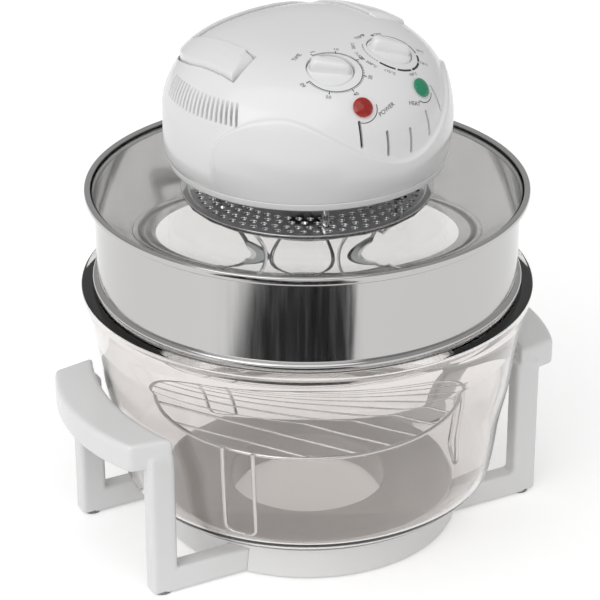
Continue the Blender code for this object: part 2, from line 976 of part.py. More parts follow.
def head_column(angle, inset, drop, step):
    # One column of the head's surface, from its foot to just short of the middle of the crown.
    edge = plan_radius(angle) - inset
    foot = cover_foot_radius - inset
    ledge = ledge_height(angle)
    if abs(angle) > skirt_end_angle:
        step = 0.0
    shoulder = cover_bottom + shoulder_height - drop - crown_tilt_share * edge * math.cos(angle)
    rise = (ledge + skirt_ledge - shoulder) / crown_rise
    start = 0.0
    if rise > 0:
        start = math.asin(rise ** (crown_rise_power / 2))
    ledge_reach = edge * math.cos(start) ** (2 / crown_plan_power)
    low = cover_bottom + (ledge - cover_bottom) * cover_low_share
    column = [
        (foot, cover_bottom),
        (foot + (edge + step - foot) * cover_low_reach, low),
        (ledge_reach + step, ledge),
    ]
    if rise > 0:
        column.append((ledge_reach, crown_height(ledge_reach, angle, inset, drop)))
    else:
        column.append((edge, ledge + skirt_ledge))
    for share in crown_shares:
        turn = start + (math.pi / 2 - start) * share
        reach = edge * math.cos(turn) ** (2 / crown_plan_power)
        column.append((reach, crown_height(reach, angle, inset, drop)))
    return column


def head_form(name, inset, drop, step, extend, group):
    # A closed body that follows the head's surface, made column by column.
    def build(shape):
        columns = []
        for index in range(cover_sides):
            angle = math.tau * index / cover_sides - math.pi
            column = head_column(angle, inset, drop, step)
            if extend:
                column.insert(0, (column[0][0], cover_bottom - extend))
            columns.append(
                [
                    shape.verts.new((reach * math.sin(angle), -reach * math.cos(angle), height))
                    for reach, height in column
                ]
            )
        crown = shape.verts.new((0, 0, crown_height(0, 0, inset, drop)))
        foot = shape.verts.new((0, 0, cover_bottom - extend))
        for index, column in enumerate(columns):
            following = columns[(index + 1) % cover_sides]
            shape.faces.new((foot, following[0], column[0]))
            shape.faces.new((column[-1], following[-1], crown))
            for low in range(len(column) - 1):
                shape.faces.new((column[low], following[low], following[low + 1], column[low + 1]))

    return mesh_object(name, build, group)


def handle_points(grow):
    # The handle from above: a U that is open to the front.
    front = handle_pivot_y - grow
    outer = [(x + grow, y + grow) for x, y in handle_outline[1:]]
    outer.insert(0, (outer[0][0], front))
    inner_x = handle_inner_x - grow
    inner_y = handle_inner_y - grow
    points = list(outer)
    points += [(-x, y) for x, y in reversed(outer)]
    points += [(-inner_x, front), (-inner_x, inner_y), (inner_x, inner_y), (inner_x, front)]
    return points


def handle_form(name, grow, depth_grow, floor, group):
    # The space between the head's surface and a deeper copy of it, inside the U outline.
    top = cover_bottom + shoulder_height + crown_rise + handle_top_clear
    form = flat_outline(name, handle_points(grow), floor, top - floor, group)
    under = head_form(
        name + "_under", handle_side_depth + depth_grow, handle_top_depth + depth_grow, 0.0,
        cut_overrun, cutters,
    )
    cut(form, under)
    for side, side_name in ((1, "right"), (-1, "left")):
        inner = handle_inner_x - grow + touch_gap
        outer = handle_outline[0][0] + grow - touch_gap
        end = cylinder(
            f"{name}_end_{side_name}", handle_end_radius + grow, -(outer - inner) / 2, (outer - inner) / 2,
            cutters, medium_round,
            Matrix.Translation((side * (outer + inner) / 2, handle_pivot_y, handle_pivot_z))
            @ Matrix.Rotation(math.pi / 2, 4, "Y"),
        )
        join(form, end)
    return form


def pin_hole(name, side, radius, inner, outer):
    return cylinder(
        name, radius, -(outer - inner) / 2, (outer - inner) / 2, cutters, small_round,
        Matrix.Translation((side * (outer + inner) / 2, handle_pivot_y, handle_pivot_z))
        @ Matrix.Rotation(math.pi / 2, 4, "Y"),
    )


def build_handle():
    handle = handle_form("safety_handle", 0.0, 0.0, handle_floor, parts)
    skin = head_form("handle_skin", 0.0, 0.0, 0.0, cut_overrun, cutters)
    trim = boolean(handle, skin, "INTERSECT")
    for side, name in ((1, "right"), (-1, "left")):
        hole = pin_hole(
            "handle_bore_" + name, side, handle_pin_radius + touch_gap,
            handle_pin_inner - cut_overrun, handle_pin_outer + cut_overrun,
        )
        cut(trim, hole)
    pivot = Vector((0, handle_pivot_y, handle_pivot_z))
    handle.data.transform(Matrix.Translation(handle.location - pivot))
    handle.location = pivot
    return white_plastic(handle)


def build_cover():
    cover = head_form("head_cover", 0.0, 0.0, skirt_step, 0.0, parts)
    hollow = head_form("cover_hollow", cover_wall, cover_wall, 0.0, cut_overrun, cutters)
    pocket_wall = handle_form(
        "pocket_wall", handle_gap + handle_pocket_wall, handle_gap + handle_pocket_wall,
        handle_floor - handle_gap - handle_pocket_wall, cutters,
    )
    cut(hollow, pocket_wall)
    for index, angle in enumerate(boss_angles, 1):
        boss = cylinder(
            f"boss_{index}", boss_radius, cover_bottom - 2 * cut_overrun, cover_bottom + boss_height,
            cutters, small_round,
            Matrix.Translation((boss_circle * math.sin(angle), -boss_circle * math.cos(angle), 0)),
        )
        cut(hollow, boss)
    for side, name in ((1, "right"), (-1, "left")):
        well_wall = cylinder(
            "well_wall_" + name, knob_radius + knob_well_gap + knob_well_floor,
            -knob_sink - knob_well_floor, knob_height, cutters, medium_round,
            panel_matrix(side * knob_x, knob_y),
        )
        cut(hollow, well_wall)
    cut(cover, hollow)
    pocket = handle_form("handle_pocket", handle_gap, handle_gap, handle_floor - handle_gap, cutters)
    cut(cover, pocket)
    for index, angle in enumerate(boss_angles, 1):
        hole = cylinder(
            f"boss_hole_{index}", cover_screw_radius + touch_gap, cover_bottom - cut_overrun,
            base_plate_top + cover_screw_bite + touch_gap, cutters, tiny_round,
            Matrix.Translation((boss_circle * math.sin(angle), -boss_circle * math.cos(angle), 0)),
        )
        cut(cover, hole)
    cut(cover, mesh_object("vent_slots", fill_vents, cutters))
    cut(cover, mesh_object("louvre_slots", fill_louvres, cutters))
    for side, name in ((1, "right"), (-1, "left")):
        hole = pin_hole(
            "cover_pin_hole_" + name, side, handle_pin_radius + touch_gap,
            handle_pin_inner - touch_gap, handle_pin_outer + touch_gap,
        )
        cut(cover, hole)
        well = cylinder(
            "knob_well_" + name, knob_radius + knob_well_gap, -knob_sink, knob_height, cutters,
            medium_round, panel_matrix(side * knob_x, knob_y),
        )
        cut(cover, well)
        shaft_hole = cylinder(
            "shaft_hole_" + name, knob_shaft_radius + 2 * touch_gap, -control_drop, control_drop,
            cutters, small_round, panel_matrix(side * knob_x, knob_y),
        )
        cut(cover, shaft_hole)
        lens_hole = cylinder(
            "lens_hole_" + name, lens_body_radius + touch_gap, -lens_depth, lens_depth,
            cutters, small_round, panel_matrix(side * lens_x, lens_y),
        )
        cut(cover, lens_hole)
    plunger_hole = cylinder(
        "plunger_hole", plunger_radius + touch_gap, switch_top(), cover_bottom + shoulder_height + crown_rise,
        cutters, tiny_round, Matrix.Translation((switch_x, switch_y, 0)),
    )
    cut(cover, plunger_hole)
    inlet_hole = cylinder(
        "inlet_hole", inlet_radius + touch_gap, -inlet_face_y / 2, inlet_face_y / 2, cutters, small_round,
        Matrix.Translation((0, inlet_face_y, cover_bottom + inlet_height))
        @ Matrix.Rotation(math.pi / 2, 4, "X"),
    )
    cut(cover, inlet_hole)
    smooth_round(cover)
    return white_plastic(cover)


def add_box(shape, size, matrix):
    made = bmesh.ops.create_cube(shape, size=1.0)
    bmesh.ops.scale(shape, vec=size, verts=made["verts"])
    bmesh.ops.transform(shape, matrix=matrix, verts=made["verts"])


def fill_vents(shape):
    for index in range(vent_count):
        angle = vent_turn + vent_pitch * (index - (vent_count - 1) / 2)
        reach = plan_radius(angle)
        middle = ledge_height(angle) + vent_lift + vent_height / 2
        matrix = Matrix.Rotation(angle, 4, "Z") @ Matrix.Translation((0, -reach, middle))
        add_box(shape, (vent_width, vent_reach, vent_height), matrix)


def fill_louvres(shape):
    middle = cover_bottom + louvre_foot + louvre_height / 2
    for side in (1, -1):
        for index in range(louvre_count):
            angle = side * (louvre_start + louvre_pitch * index)
            matrix = (
                Matrix.Rotation(angle, 4, "Z")
                @ Matrix.Translation((0, -(louvre_inner + louvre_outer) / 2, middle))
                @ Matrix.Rotation(side * louvre_rake, 4, "Y")
            )
            add_box(shape, (louvre_width, louvre_outer - louvre_inner, louvre_height), matrix)


def panel_matrix(x, y):
    # A frame on the crown's surface with its Z axis along the surface's normal.
    def height_at(px, py):
        return crown_height(math.hypot(px, py), math.atan2(px, -py))

    probe = touch_gap
    slope_x = (height_at(x + probe, y) - height_at(x - probe, y)) / (2 * probe)
    slope_y = (height_at(x, y + probe) - height_at(x, y - probe)) / (2 * probe)
    normal = Vector((-slope_x, -slope_y, 1)).normalized()
    turn = normal.to_track_quat("Z", "Y").to_matrix().to_4x4()
    return Matrix.Translation((x, y, height_at(x, y))) @ turn


def switch_top():
    reach = math.hypot(switch_x, switch_y)
    angle = math.atan2(switch_x, -switch_y)
    return crown_height(reach, angle) - switch_drop


# Controls, lamps and the switch

def build_knob(name, side, turn):
    # A low disc with a tapered bar to hold, bored from below for its shaft.
    profile = (
        (0, knob_disc_height), (knob_radius - 2 * knob_edge, knob_disc_height),
        (knob_radius - knob_edge, knob_disc_height - knob_edge), (knob_radius, 0), (0, 0),
    )
    knob = turned(name, profile, parts, medium_round, closed=False)
    grip = block(
        name + "_grip", (2 * (knob_radius - knob_edge), knob_grip_width, knob_height - knob_edge),
        (0, 0, (knob_height + knob_edge) / 2), cutters, 2 * knob_edge,
    )
    bore = cylinder(
        name + "_bore", knob_shaft_radius + touch_gap, -cut_overrun, knob_bore_depth, cutters
    )
    join(knob, grip)
    cut(knob, bore)
    matrix = (
        panel_matrix(side * knob_x, knob_y) @ Matrix.Translation((0, 0, touch_gap - knob_sink))
        @ Matrix.Rotation(turn, 4, "Z")
    )
    for obj in (knob, grip, bore):
        obj.matrix_basis = matrix
    return white_plastic(smooth_round(knob))


def build_control(side, shaft_name, body_name, radius, depth):
    # The shaft turns in a bore in the top of its timer or thermostat.
    matrix = panel_matrix(side * knob_x, knob_y)
    shaft = cylinder(
        shaft_name, knob_shaft_radius, -control_drop - knob_shaft_depth + touch_gap,
        knob_bore_depth - knob_sink, parts,
    )
    body = cylinder(body_name, radius, -control_drop - depth, -control_drop, parts, medium_round)
    bore = cylinder(
        body_name + "_bore", knob_shaft_radius + touch_gap, -control_drop - knob_shaft_depth,
        -control_drop + cut_overrun, cutters,
    )
    cut(body, bore)
    for obj in (shaft, body, bore):
        obj.matrix_basis = matrix
    steel(smooth_round(shaft))
    return dark_plastic(smooth_round(body))


def build_lens(name, side, colour):
    top = lens_lift + lens_edge
    profile = (
        (0, top + lens_crown), (lens_radius / 2, top + lens_crown * lens_mid_share),
        (lens_radius * lens_wide_share, top + lens_crown * lens_low_share), (lens_radius, top),
        (lens_radius, lens_lift), (lens_body_radius, lens_lift), (lens_body_radius, -lens_depth),
        (0, -lens_depth),
    )
    lens = turned(name, profile, parts, medium_round, closed=False)
    lens.matrix_basis = panel_matrix(side * lens_x, lens_y)
    return finish(smooth_round(lens), colour, 0.1, transmission=0.5)


def build_switch():
    top = switch_top()
    switch = block(
        "handle_switch", (switch_width, switch_length, switch_height),
        (switch_x, switch_y, top - switch_height / 2), parts,
    )
    well = cylinder(
        "switch_well", plunger_radius + touch_gap, top - plunger_sunk - plunger_floor, top + cut_overrun,
        cutters, tiny_round, Matrix.Translation((switch_x, switch_y, 0)),
    )
    cut(switch, well)
    dark_plastic(switch)
    plunger_top = top + switch_drop - plunger_top_drop
    plunger = cylinder(
        "switch_plunger", plunger_radius, -(plunger_top - top + plunger_sunk), 0, parts, tiny_round
    )
    plunger.location = (switch_x, switch_y, plunger_top)
    return finish(smooth_round(plunger), (0.75, 0.12, 0.08), 0.4)


def build_handle_pins():
    half = (handle_pin_outer - handle_pin_inner) / 2
    for side, name in ((1, "right"), (-1, "left")):
        pin = cylinder(
            "handle_pin_" + name, handle_pin_radius, -half, half, parts, small_round,
            Matrix.Rotation(math.pi / 2, 4, "Y"),
        )
        pin.location = (side * (handle_pin_outer + handle_pin_inner) / 2, handle_pivot_y, handle_pivot_z)
        steel(smooth_round(pin))


# Head base, motor and fans

def build_head_base():
    profile = (
        (flange_top_radius, flange_top),
        (flange_bottom_radius, flange_bottom),
        (base_plate_hole, flange_bottom),
        (base_plate_hole, base_plate_top),
        (flange_bottom_radius - flange_wall, base_plate_top),
        (flange_top_radius - flange_wall, flange_top),
    )
    base = turned("head_base", profile, parts, large_round)
    for index, angle in enumerate(boss_angles, 1):
        at_boss = Matrix.Translation((boss_circle * math.sin(angle), -boss_circle * math.cos(angle), 0))
        hole = cylinder(
            f"base_hole_{index}", cover_screw_radius + touch_gap, flange_bottom - cut_overrun,
            flange_top + cut_overrun, cutters, tiny_round, at_boss,
        )
        cut(base, hole)
        seat = cylinder(
            f"base_seat_{index}", cover_screw_head_radius + touch_gap, flange_bottom - cut_overrun,
            flange_bottom + cover_screw_head_height + touch_gap, cutters, tiny_round, at_boss,
        )
        cut(base, seat)
    return white_plastic(smooth_round(base))


def build_cover_screws():
    profile = screw_profile(
        cover_screw_radius, cover_screw_head_radius, cover_screw_head_height, base_plate + cover_screw_bite
    )
    for index, angle in enumerate(boss_angles, 1):
        screw = turned(f"cover_screw_{index}", profile, parts, tiny_round, closed=False)
        screw.location = (boss_circle * math.sin(angle), -boss_circle * math.cos(angle), flange_bottom)
        steel(smooth_round(screw))


def ring_profile(outer, inner, bottom, top):
    return ((outer, top), (outer, bottom), (inner, bottom), (inner, top))


def build_bracket():
    bottom = base_plate_top + bracket_lift
    bore = bush_radius + touch_gap
    profile = ring_profile(bracket_radius, bore, bottom, bottom + bracket_plate)
    bracket = turned("motor_bracket", profile, parts, medium_round)

    def build(shape):
        leg_bottom = base_plate_top + touch_gap
        leg_top = bottom + bracket_plate / 2
        for index in range(bracket_legs):
            matrix = (
                Matrix.Rotation(math.tau * index / bracket_legs, 4, "Z")
                @ Matrix.Translation((bracket_leg_circle, 0, (leg_bottom + leg_top) / 2))
            )
            add_box(shape, (bracket_leg_width, bracket_leg_width, leg_top - leg_bottom), matrix)

    join(bracket, mesh_object("bracket_legs", build, cutters))
    return steel(smooth_round(bracket))


def build_motor():
    plate_top = base_plate_top + bracket_lift + bracket_plate
    bush = turned(
        "shaft_bush",
        ring_profile(bush_radius, shaft_radius + touch_gap, plate_top - bracket_plate, plate_top),
        parts, small_round,
    )
    brass(smooth_round(bush))
    stator_bottom = plate_top + touch_gap
    stator = turned(
        "motor_stator",
        ring_profile(stator_radius, stator_bore, stator_bottom, stator_bottom + stator_height),
        parts, medium_round,
    )
    finish(smooth_round(stator), (0.30, 0.30, 0.31), 0.45, metallic=1.0)
    rotor_bottom = stator_bottom + (stator_height - rotor_height) / 2
    rotor = turned(
        "motor_rotor",
        ring_profile(rotor_radius, shaft_radius + touch_gap, rotor_bottom, rotor_bottom + rotor_height),
        parts, medium_round,
    )
    steel(smooth_round(rotor))
    shaft = cylinder(
        "motor_shaft", shaft_radius, reflector_under - shaft_bottom_drop, base_plate_top + shaft_top_rise,
        parts,
    )
    return steel(smooth_round(shaft))


def build_fan(name, hub_radius, hub_height, reach, blades, bottom):
    hub = turned(
        name, ring_profile(hub_radius, shaft_radius + touch_gap, bottom, bottom + hub_height),
        parts, medium_round,
    )

    def build(shape):
        inner = (hub_radius + shaft_radius) / 2
        for index in range(blades):
            matrix = (
                Matrix.Rotation(math.tau * index / blades, 4, "Z")
                @ Matrix.Translation(((reach + inner) / 2, 0, bottom + hub_height / 2))
                @ Matrix.Rotation(blade_pitch, 4, "X")
            )
            add_box(shape, (reach - inner, blade_height, blade_sheet), matrix)

    join(hub, mesh_object(name + "_blades", build, cutters))
    return hub


def build_fans():
    bottom = reflector_under - circulation_drop - circulation_hub_height
    circulation = build_fan(
        "circulation_fan", circulation_hub_radius, circulation_hub_height, circulation_fan_radius,
        circulation_blades, bottom,
    )
    steel(smooth_round(circulation))
    nut_bore = (shaft_radius + touch_gap) / math.cos(math.pi / nut_sides)
    nut_top = bottom - touch_gap
    nut = turned(
        "fan_nut", ring_profile(nut_radius, nut_bore, nut_top - nut_height, nut_top), parts, nut_sides
    )
    brass(nut)
    cooling = build_fan(
        "cooling_fan", cooling_hub_radius, cooling_hub_height, cooling_fan_radius, cooling_blades,
        base_plate_top + cooling_lift,
    )
    return white_plastic(smooth_round(cooling))


def build_terminal_block():
    bottom = base_plate_top + touch_gap
    terminal = block(
        "terminal_block", (terminal_length, terminal_width, terminal_height),
        (terminal_x, terminal_y, bottom + terminal_height / 2), parts, knob_edge, 1,
    )
    return finish(terminal, (0.85, 0.83, 0.76), 0.5)


def build_inlet():
    length = inlet_face_y - inlet_inner_y
    profile = (
        (inlet_flange_radius, inlet_flange), (inlet_flange_radius, 0), (inlet_radius, 0),
        (inlet_radius, -length), (inlet_bore, -length), (inlet_bore, inlet_flange),
    )
    inlet = turned("cord_inlet", profile, parts, medium_round)
    inlet.matrix_basis = (
        Matrix.Translation((0, inlet_face_y, cover_bottom + inlet_height))
        @ Matrix.Rotation(-math.pi / 2, 4, "X")
    )
    return dark_plastic(smooth_round(inlet))


# The whole oven

def build_oven():
    build_stand_base()
    build_stand_frame("stand_frame_right", 1)
    build_stand_frame("stand_frame_left", -1)
    build_foot_pads()
    build_stand_screws()
    build_bowl()
    build_rack(
        "high_rack", high_rack_radius, high_rack_height, high_rack_wires, high_rack_spacing,
        high_rack_foot_radius, high_rack_foot_lift, high_rack_leg_start,
    )
    build_ring()
    build_lid()
    work["holder"] = new_holder("head_frame")
    build_heat_shield()
    build_posts()
    build_reflector()
    build_halogen_tube()
    build_lamp_holders()
    build_guard()
    build_head_base()
    build_cover_screws()
    build_cover()
    build_handle()
    build_handle_pins()
    build_switch()
    build_knob("timer_knob", -1, timer_grip_turn)
    build_knob("thermostat_knob", 1, thermostat_grip_turn)
    build_control(-1, "timer_shaft", "timer_mechanism", timer_radius, timer_depth)
    build_control(1, "thermostat_shaft", "thermostat_body", thermostat_radius, thermostat_depth)
    build_lens("power_lamp_lens", -1, (0.85, 0.12, 0.06))
    build_lens("heat_lamp_lens", 1, (0.10, 0.60, 0.25))
    build_bracket()
    build_motor()
    build_fans()
    build_terminal_block()
    build_inlet()


def new_holder(name):
    # An empty on the head's axis, turned as the head stands on the lid.
    holder = bpy.data.objects.new(name, None)
    parts.objects.link(holder)
    holder.rotation_euler.z = head_turn
    return holder


build_oven()
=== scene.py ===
import json
import math

import bmesh
import bpy
from mathutils import Matrix, Vector


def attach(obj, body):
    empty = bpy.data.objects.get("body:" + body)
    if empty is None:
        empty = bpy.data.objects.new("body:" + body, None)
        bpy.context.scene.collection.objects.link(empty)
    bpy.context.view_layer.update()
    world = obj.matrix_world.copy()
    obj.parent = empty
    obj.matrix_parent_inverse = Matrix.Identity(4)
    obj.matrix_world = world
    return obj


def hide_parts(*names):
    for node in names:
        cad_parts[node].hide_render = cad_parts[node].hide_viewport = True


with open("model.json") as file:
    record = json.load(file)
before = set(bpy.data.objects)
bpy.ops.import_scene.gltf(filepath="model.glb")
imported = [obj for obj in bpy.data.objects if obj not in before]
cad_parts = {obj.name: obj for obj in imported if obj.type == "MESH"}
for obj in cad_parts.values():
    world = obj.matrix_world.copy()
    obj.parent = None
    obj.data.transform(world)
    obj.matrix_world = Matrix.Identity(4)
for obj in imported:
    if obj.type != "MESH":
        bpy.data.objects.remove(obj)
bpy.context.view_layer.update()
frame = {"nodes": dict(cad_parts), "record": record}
nodes = frame["nodes"]
print("frame loaded")

# Heights shared by several pieces, in metres above the worktop
level = {
    "standFloor": 0.0015,
    "baseTop": 0.0257,
    "bowlBottom": 0.0260,
    "bowlRim": 0.1990,
    "ringTop": 0.2758,
    "lidBottom": 0.2692,
    "lidTop": 0.2732,
    "flangeBottom": 0.2974,
    "coverBottom": 0.3037,
}
slip = 0.0003  # clearance round a bore or between two seats, as in the CAD
overrun = 0.002  # how far a cutter passes the face that it opens
headTurn = math.radians(13.5)
headMatrix = Matrix.Rotation(headTurn, 4, "Z")


# Node tree helpers

def linkNodes(tree, source, target):
    tree.links.new(source, target)


def addNode(tree, kind, settings=None, inputs=None):
    node = tree.nodes.new(kind)
    for name, value in (settings or {}).items():
        setattr(node, name, value)
    for key, value in (inputs or {}).items():
        socket = node.inputs[key]
        if isinstance(value, bpy.types.NodeSocket):
            tree.links.new(value, socket)
        else:
            socket.default_value = value
    return node


def mathNode(tree, operation, first, second=0.0):
    node = tree.nodes.new("ShaderNodeMath")
    node.operation = operation
    for socket, value in zip(node.inputs, (first, second)):
        if isinstance(value, bpy.types.NodeSocket):
            tree.links.new(value, socket)
        else:
            socket.default_value = value
    return node.outputs[0]


def socketNamed(sockets, name):
    return next(socket for socket in sockets if socket.name == name and socket.enabled)


# Materials

finish = {
    "grainDepth": 0.0001, "waveDepth": 0.001, "plasticIor": 1.5, "coatRoughness": 0.06,
    "metalMottle": 9.0, "glassMottle": 6.0, "glassRoughScale": 30.0, "clearAfter": 7.5,
}


def startMaterial(name):
    material = bpy.data.materials.new(name)
    material.use_nodes = True
    tree = material.node_tree
    shader = tree.nodes["Principled BSDF"]
    place = addNode(tree, "ShaderNodeTexCoord").outputs["Object"]
    return material, tree, shader, place


def noiseRange(tree, place, scale, low, high, detail=3.0):
    noise = addNode(
        tree, "ShaderNodeTexNoise", inputs={"Vector": place, "Scale": scale, "Detail": detail}
    )
    spread = addNode(
        tree, "ShaderNodeMapRange",
        inputs={"Value": noise.outputs[0], "From Min": 0.3, "From Max": 0.7, "To Min": low, "To Max": high},
    )
    return spread.outputs["Result"]


def colourRange(tree, place, scale, first, second):
    noise = addNode(tree, "ShaderNodeTexNoise", inputs={"Vector": place, "Scale": scale, "Detail": 4.0})
    mix = addNode(tree, "ShaderNodeMix", {"data_type": "RGBA"})
    linkNodes(tree, noise.outputs[0], mix.inputs["Factor"])
    colours = [socket for socket in mix.inputs if socket.type == "RGBA"]
    colours[0].default_value = (*first, 1)
    colours[1].default_value = (*second, 1)
    return next(socket for socket in mix.outputs if socket.type == "RGBA")


def bumpFrom(tree, height, strength, distance, softEdge=0.0):
    bump = addNode(
        tree, "ShaderNodeBump", inputs={"Strength": strength, "Distance": distance, "Height": height}
    )
    if softEdge:
        edge = addNode(tree, "ShaderNodeBevel", {"samples": 4}, {"Radius": softEdge})
        linkNodes(tree, edge.outputs["Normal"], bump.inputs["Normal"])
    return bump.outputs["Normal"]


def plasticMaterial(name, settings):
    material, tree, shader, place = startMaterial(name)
    dark = [channel * settings["shade"] for channel in settings["colour"]]
    colour = colourRange(tree, place, settings["mottle"], settings["colour"], dark)
    linkNodes(tree, colour, shader.inputs["Base Color"])
    rough = noiseRange(tree, place, settings["roughScale"], settings["roughLow"], settings["roughHigh"])
    linkNodes(tree, rough, shader.inputs["Roughness"])
    grain = noiseRange(tree, place, settings["grain"], 0.0, 1.0)
    normal = bumpFrom(tree, grain, settings["grainStrength"], finish["grainDepth"], settings["softEdge"])
    linkNodes(tree, normal, shader.inputs["Normal"])
    shader.inputs["IOR"].default_value = finish["plasticIor"]
    shader.inputs["Coat Weight"].default_value = settings["coat"]
    shader.inputs["Coat Roughness"].default_value = finish["coatRoughness"]
    return material


def metalMaterial(name, settings):
    material, tree, shader, place = startMaterial(name)
    split = addNode(tree, "ShaderNodeSeparateXYZ", inputs={"Vector": place})
    stretch = settings["stretch"]
    along = addNode(
        tree, "ShaderNodeCombineXYZ",
        inputs={
            "X": mathNode(tree, "MULTIPLY", split.outputs["X"], stretch[0]),
            "Y": mathNode(tree, "MULTIPLY", split.outputs["Y"], stretch[1]),
            "Z": mathNode(tree, "MULTIPLY", split.outputs["Z"], stretch[2]),
        },
    ).outputs["Vector"]
    dark = [channel * settings["shade"] for channel in settings["colour"]]
    colour = colourRange(tree, place, finish["metalMottle"], settings["colour"], dark)
    linkNodes(tree, colour, shader.inputs["Base Color"])
    shader.inputs["Metallic"].default_value = 1.0
    rough = noiseRange(tree, along, 1.0, settings["roughLow"], settings["roughHigh"])
    linkNodes(tree, rough, shader.inputs["Roughness"])
    lines = noiseRange(tree, along, 1.0, 0.0, 1.0)
    normal = bumpFrom(tree, lines, settings["lineStrength"], finish["grainDepth"])
    linkNodes(tree, normal, shader.inputs["Normal"])
    return material


def glassMaterial(name, settings):
    material, tree, shader, place = startMaterial(name)
    dark = [channel * settings["shade"] for channel in settings["colour"]]
    tint = colourRange(tree, place, finish["glassMottle"], settings["colour"], dark)
    linkNodes(tree, tint, shader.inputs["Base Color"])
    rough = noiseRange(tree, place, finish["glassRoughScale"], settings["roughLow"], settings["roughHigh"])
    linkNodes(tree, rough, shader.inputs["Roughness"])
    shader.inputs["Transmission Weight"].default_value = settings.get("through", 1.0)
    shader.inputs["IOR"].default_value = settings["ior"]
    wave = noiseRange(tree, place, settings["waveScale"], 0.0, 1.0, 1.0)
    normal = bumpFrom(tree, wave, settings["waveStrength"], finish["waveDepth"])
    linkNodes(tree, normal, shader.inputs["Normal"])
    clear = addNode(tree, "ShaderNodeBsdfTransparent")
    linkNodes(tree, tint, clear.inputs["Color"])
    path = addNode(tree, "ShaderNodeLightPath")
    mix = addNode(tree, "ShaderNodeMixShader")
    # A ray that has gone through many walls meets clear glass, so that the thick rim isn't black.
    deep = mathNode(tree, "GREATER_THAN", path.outputs["Transmission Depth"], finish["clearAfter"])
    share = mathNode(tree, "MAXIMUM", path.outputs["Is Shadow Ray"], deep)
    linkNodes(tree, share, mix.inputs["Fac"])
    linkNodes(tree, shader.outputs["BSDF"], mix.inputs[1])
    linkNodes(tree, clear.outputs["BSDF"], mix.inputs[2])
    linkNodes(tree, mix.outputs["Shader"], tree.nodes["Material Output"].inputs["Surface"])
    return material


plasticLooks = {
    "white_plastic": {
        "colour": (0.87, 0.87, 0.87), "shade": 0.993, "mottle": 14.0, "roughScale": 60.0,
        "roughLow": 0.22, "roughHigh": 0.25, "grain": 1400.0, "grainStrength": 0.015,
        "softEdge": 0.0006, "coat": 0.25,
    },
    "foot_rubber": {
        "colour": (0.30, 0.30, 0.31), "shade": 0.8, "mottle": 300.0, "roughScale": 500.0,
        "roughLow": 0.65, "roughHigh": 0.85, "grain": 2500.0, "grainStrength": 0.3,
        "softEdge": 0.0004, "coat": 0.0,
    },
    "ceramic": {
        "colour": (0.90, 0.89, 0.84), "shade": 0.92, "mottle": 120.0, "roughScale": 200.0,
        "roughLow": 0.5, "roughHigh": 0.7, "grain": 1800.0, "grainStrength": 0.2,
        "softEdge": 0.0004, "coat": 0.0,
    },
    "black_plastic": {
        "colour": (0.05, 0.05, 0.055), "shade": 0.8, "mottle": 90.0, "roughScale": 200.0,
        "roughLow": 0.4, "roughHigh": 0.55, "grain": 2000.0, "grainStrength": 0.25,
        "softEdge": 0.0004, "coat": 0.0,
    },
    "red_plastic": {
        "colour": (0.78, 0.10, 0.07), "shade": 0.9, "mottle": 90.0, "roughScale": 200.0,
        "roughLow": 0.3, "roughHigh": 0.45, "grain": 1500.0, "grainStrength": 0.1,
        "softEdge": 0.0003, "coat": 0.1,
    },
    "panelPrint": {
        "colour": (0.035, 0.035, 0.04), "shade": 0.7, "mottle": 800.0, "roughScale": 900.0,
        "roughLow": 0.35, "roughHigh": 0.5, "grain": 3000.0, "grainStrength": 0.1,
        "softEdge": 0.0, "coat": 0.0,
    },
}
metalLooks = {
    "zinc_steel": {
        "colour": (0.60, 0.61, 0.62), "shade": 0.9, "stretch": (400, 400, 400),
        "roughLow": 0.28, "roughHigh": 0.4, "lineStrength": 0.05,
    },
    "stainless_sheet": {
        "colour": (0.53, 0.525, 0.52), "shade": 0.95, "stretch": (220, 220, 14),
        "roughLow": 0.09, "roughHigh": 0.15, "lineStrength": 0.012,
    },
    "chrome_wire": {
        "colour": (0.80, 0.80, 0.81), "shade": 0.95, "stretch": (200, 200, 200),
        "roughLow": 0.05, "roughHigh": 0.11, "lineStrength": 0.02,
    },
    "iron_core": {
        "colour": (0.28, 0.27, 0.27), "shade": 0.75, "stretch": (20, 20, 1800),
        "roughLow": 0.4, "roughHigh": 0.6, "lineStrength": 0.6,
    },
    "bush_brass": {
        "colour": (0.72, 0.52, 0.22), "shade": 0.85, "stretch": (300, 300, 300),
        "roughLow": 0.3, "roughHigh": 0.45, "lineStrength": 0.05,
    },
}
glassLooks = {
    "smoky_glass": {
        "colour": (0.895, 0.872, 0.858), "shade": 0.985, "roughLow": 0.0, "roughHigh": 0.015,
        "ior": 1.47, "waveScale": 9.0, "waveStrength": 0.04,
    },
    "clear_glass": {
        "colour": (0.955, 0.972, 0.965), "shade": 0.99, "roughLow": 0.0, "roughHigh": 0.01,
        "ior": 1.5, "waveScale": 7.0, "waveStrength": 0.02,
    },
    "quartz": {
        "colour": (0.93, 0.92, 0.89), "shade": 0.96, "roughLow": 0.02, "roughHigh": 0.08,
        "ior": 1.46, "waveScale": 40.0, "waveStrength": 0.05,
    },
    "red_lens": {
        "through": 0.45, "colour": (0.72, 0.04, 0.03), "shade": 0.6, "roughLow": 0.03, "roughHigh": 0.1,
        "ior": 1.49, "waveScale": 300.0, "waveStrength": 0.3,
    },
    "green_lens": {
        "through": 0.45, "colour": (0.05, 0.55, 0.30), "shade": 0.6, "roughLow": 0.03, "roughHigh": 0.1,
        "ior": 1.49, "waveScale": 300.0, "waveStrength": 0.3,
    },
}
looks = {}
for name, settings in plasticLooks.items():
    looks[name] = plasticMaterial(name, settings)
for name, settings in metalLooks.items():
    looks[name] = metalMaterial(name, settings)
for name, settings in glassLooks.items():
    looks[name] = glassMaterial(name, settings)

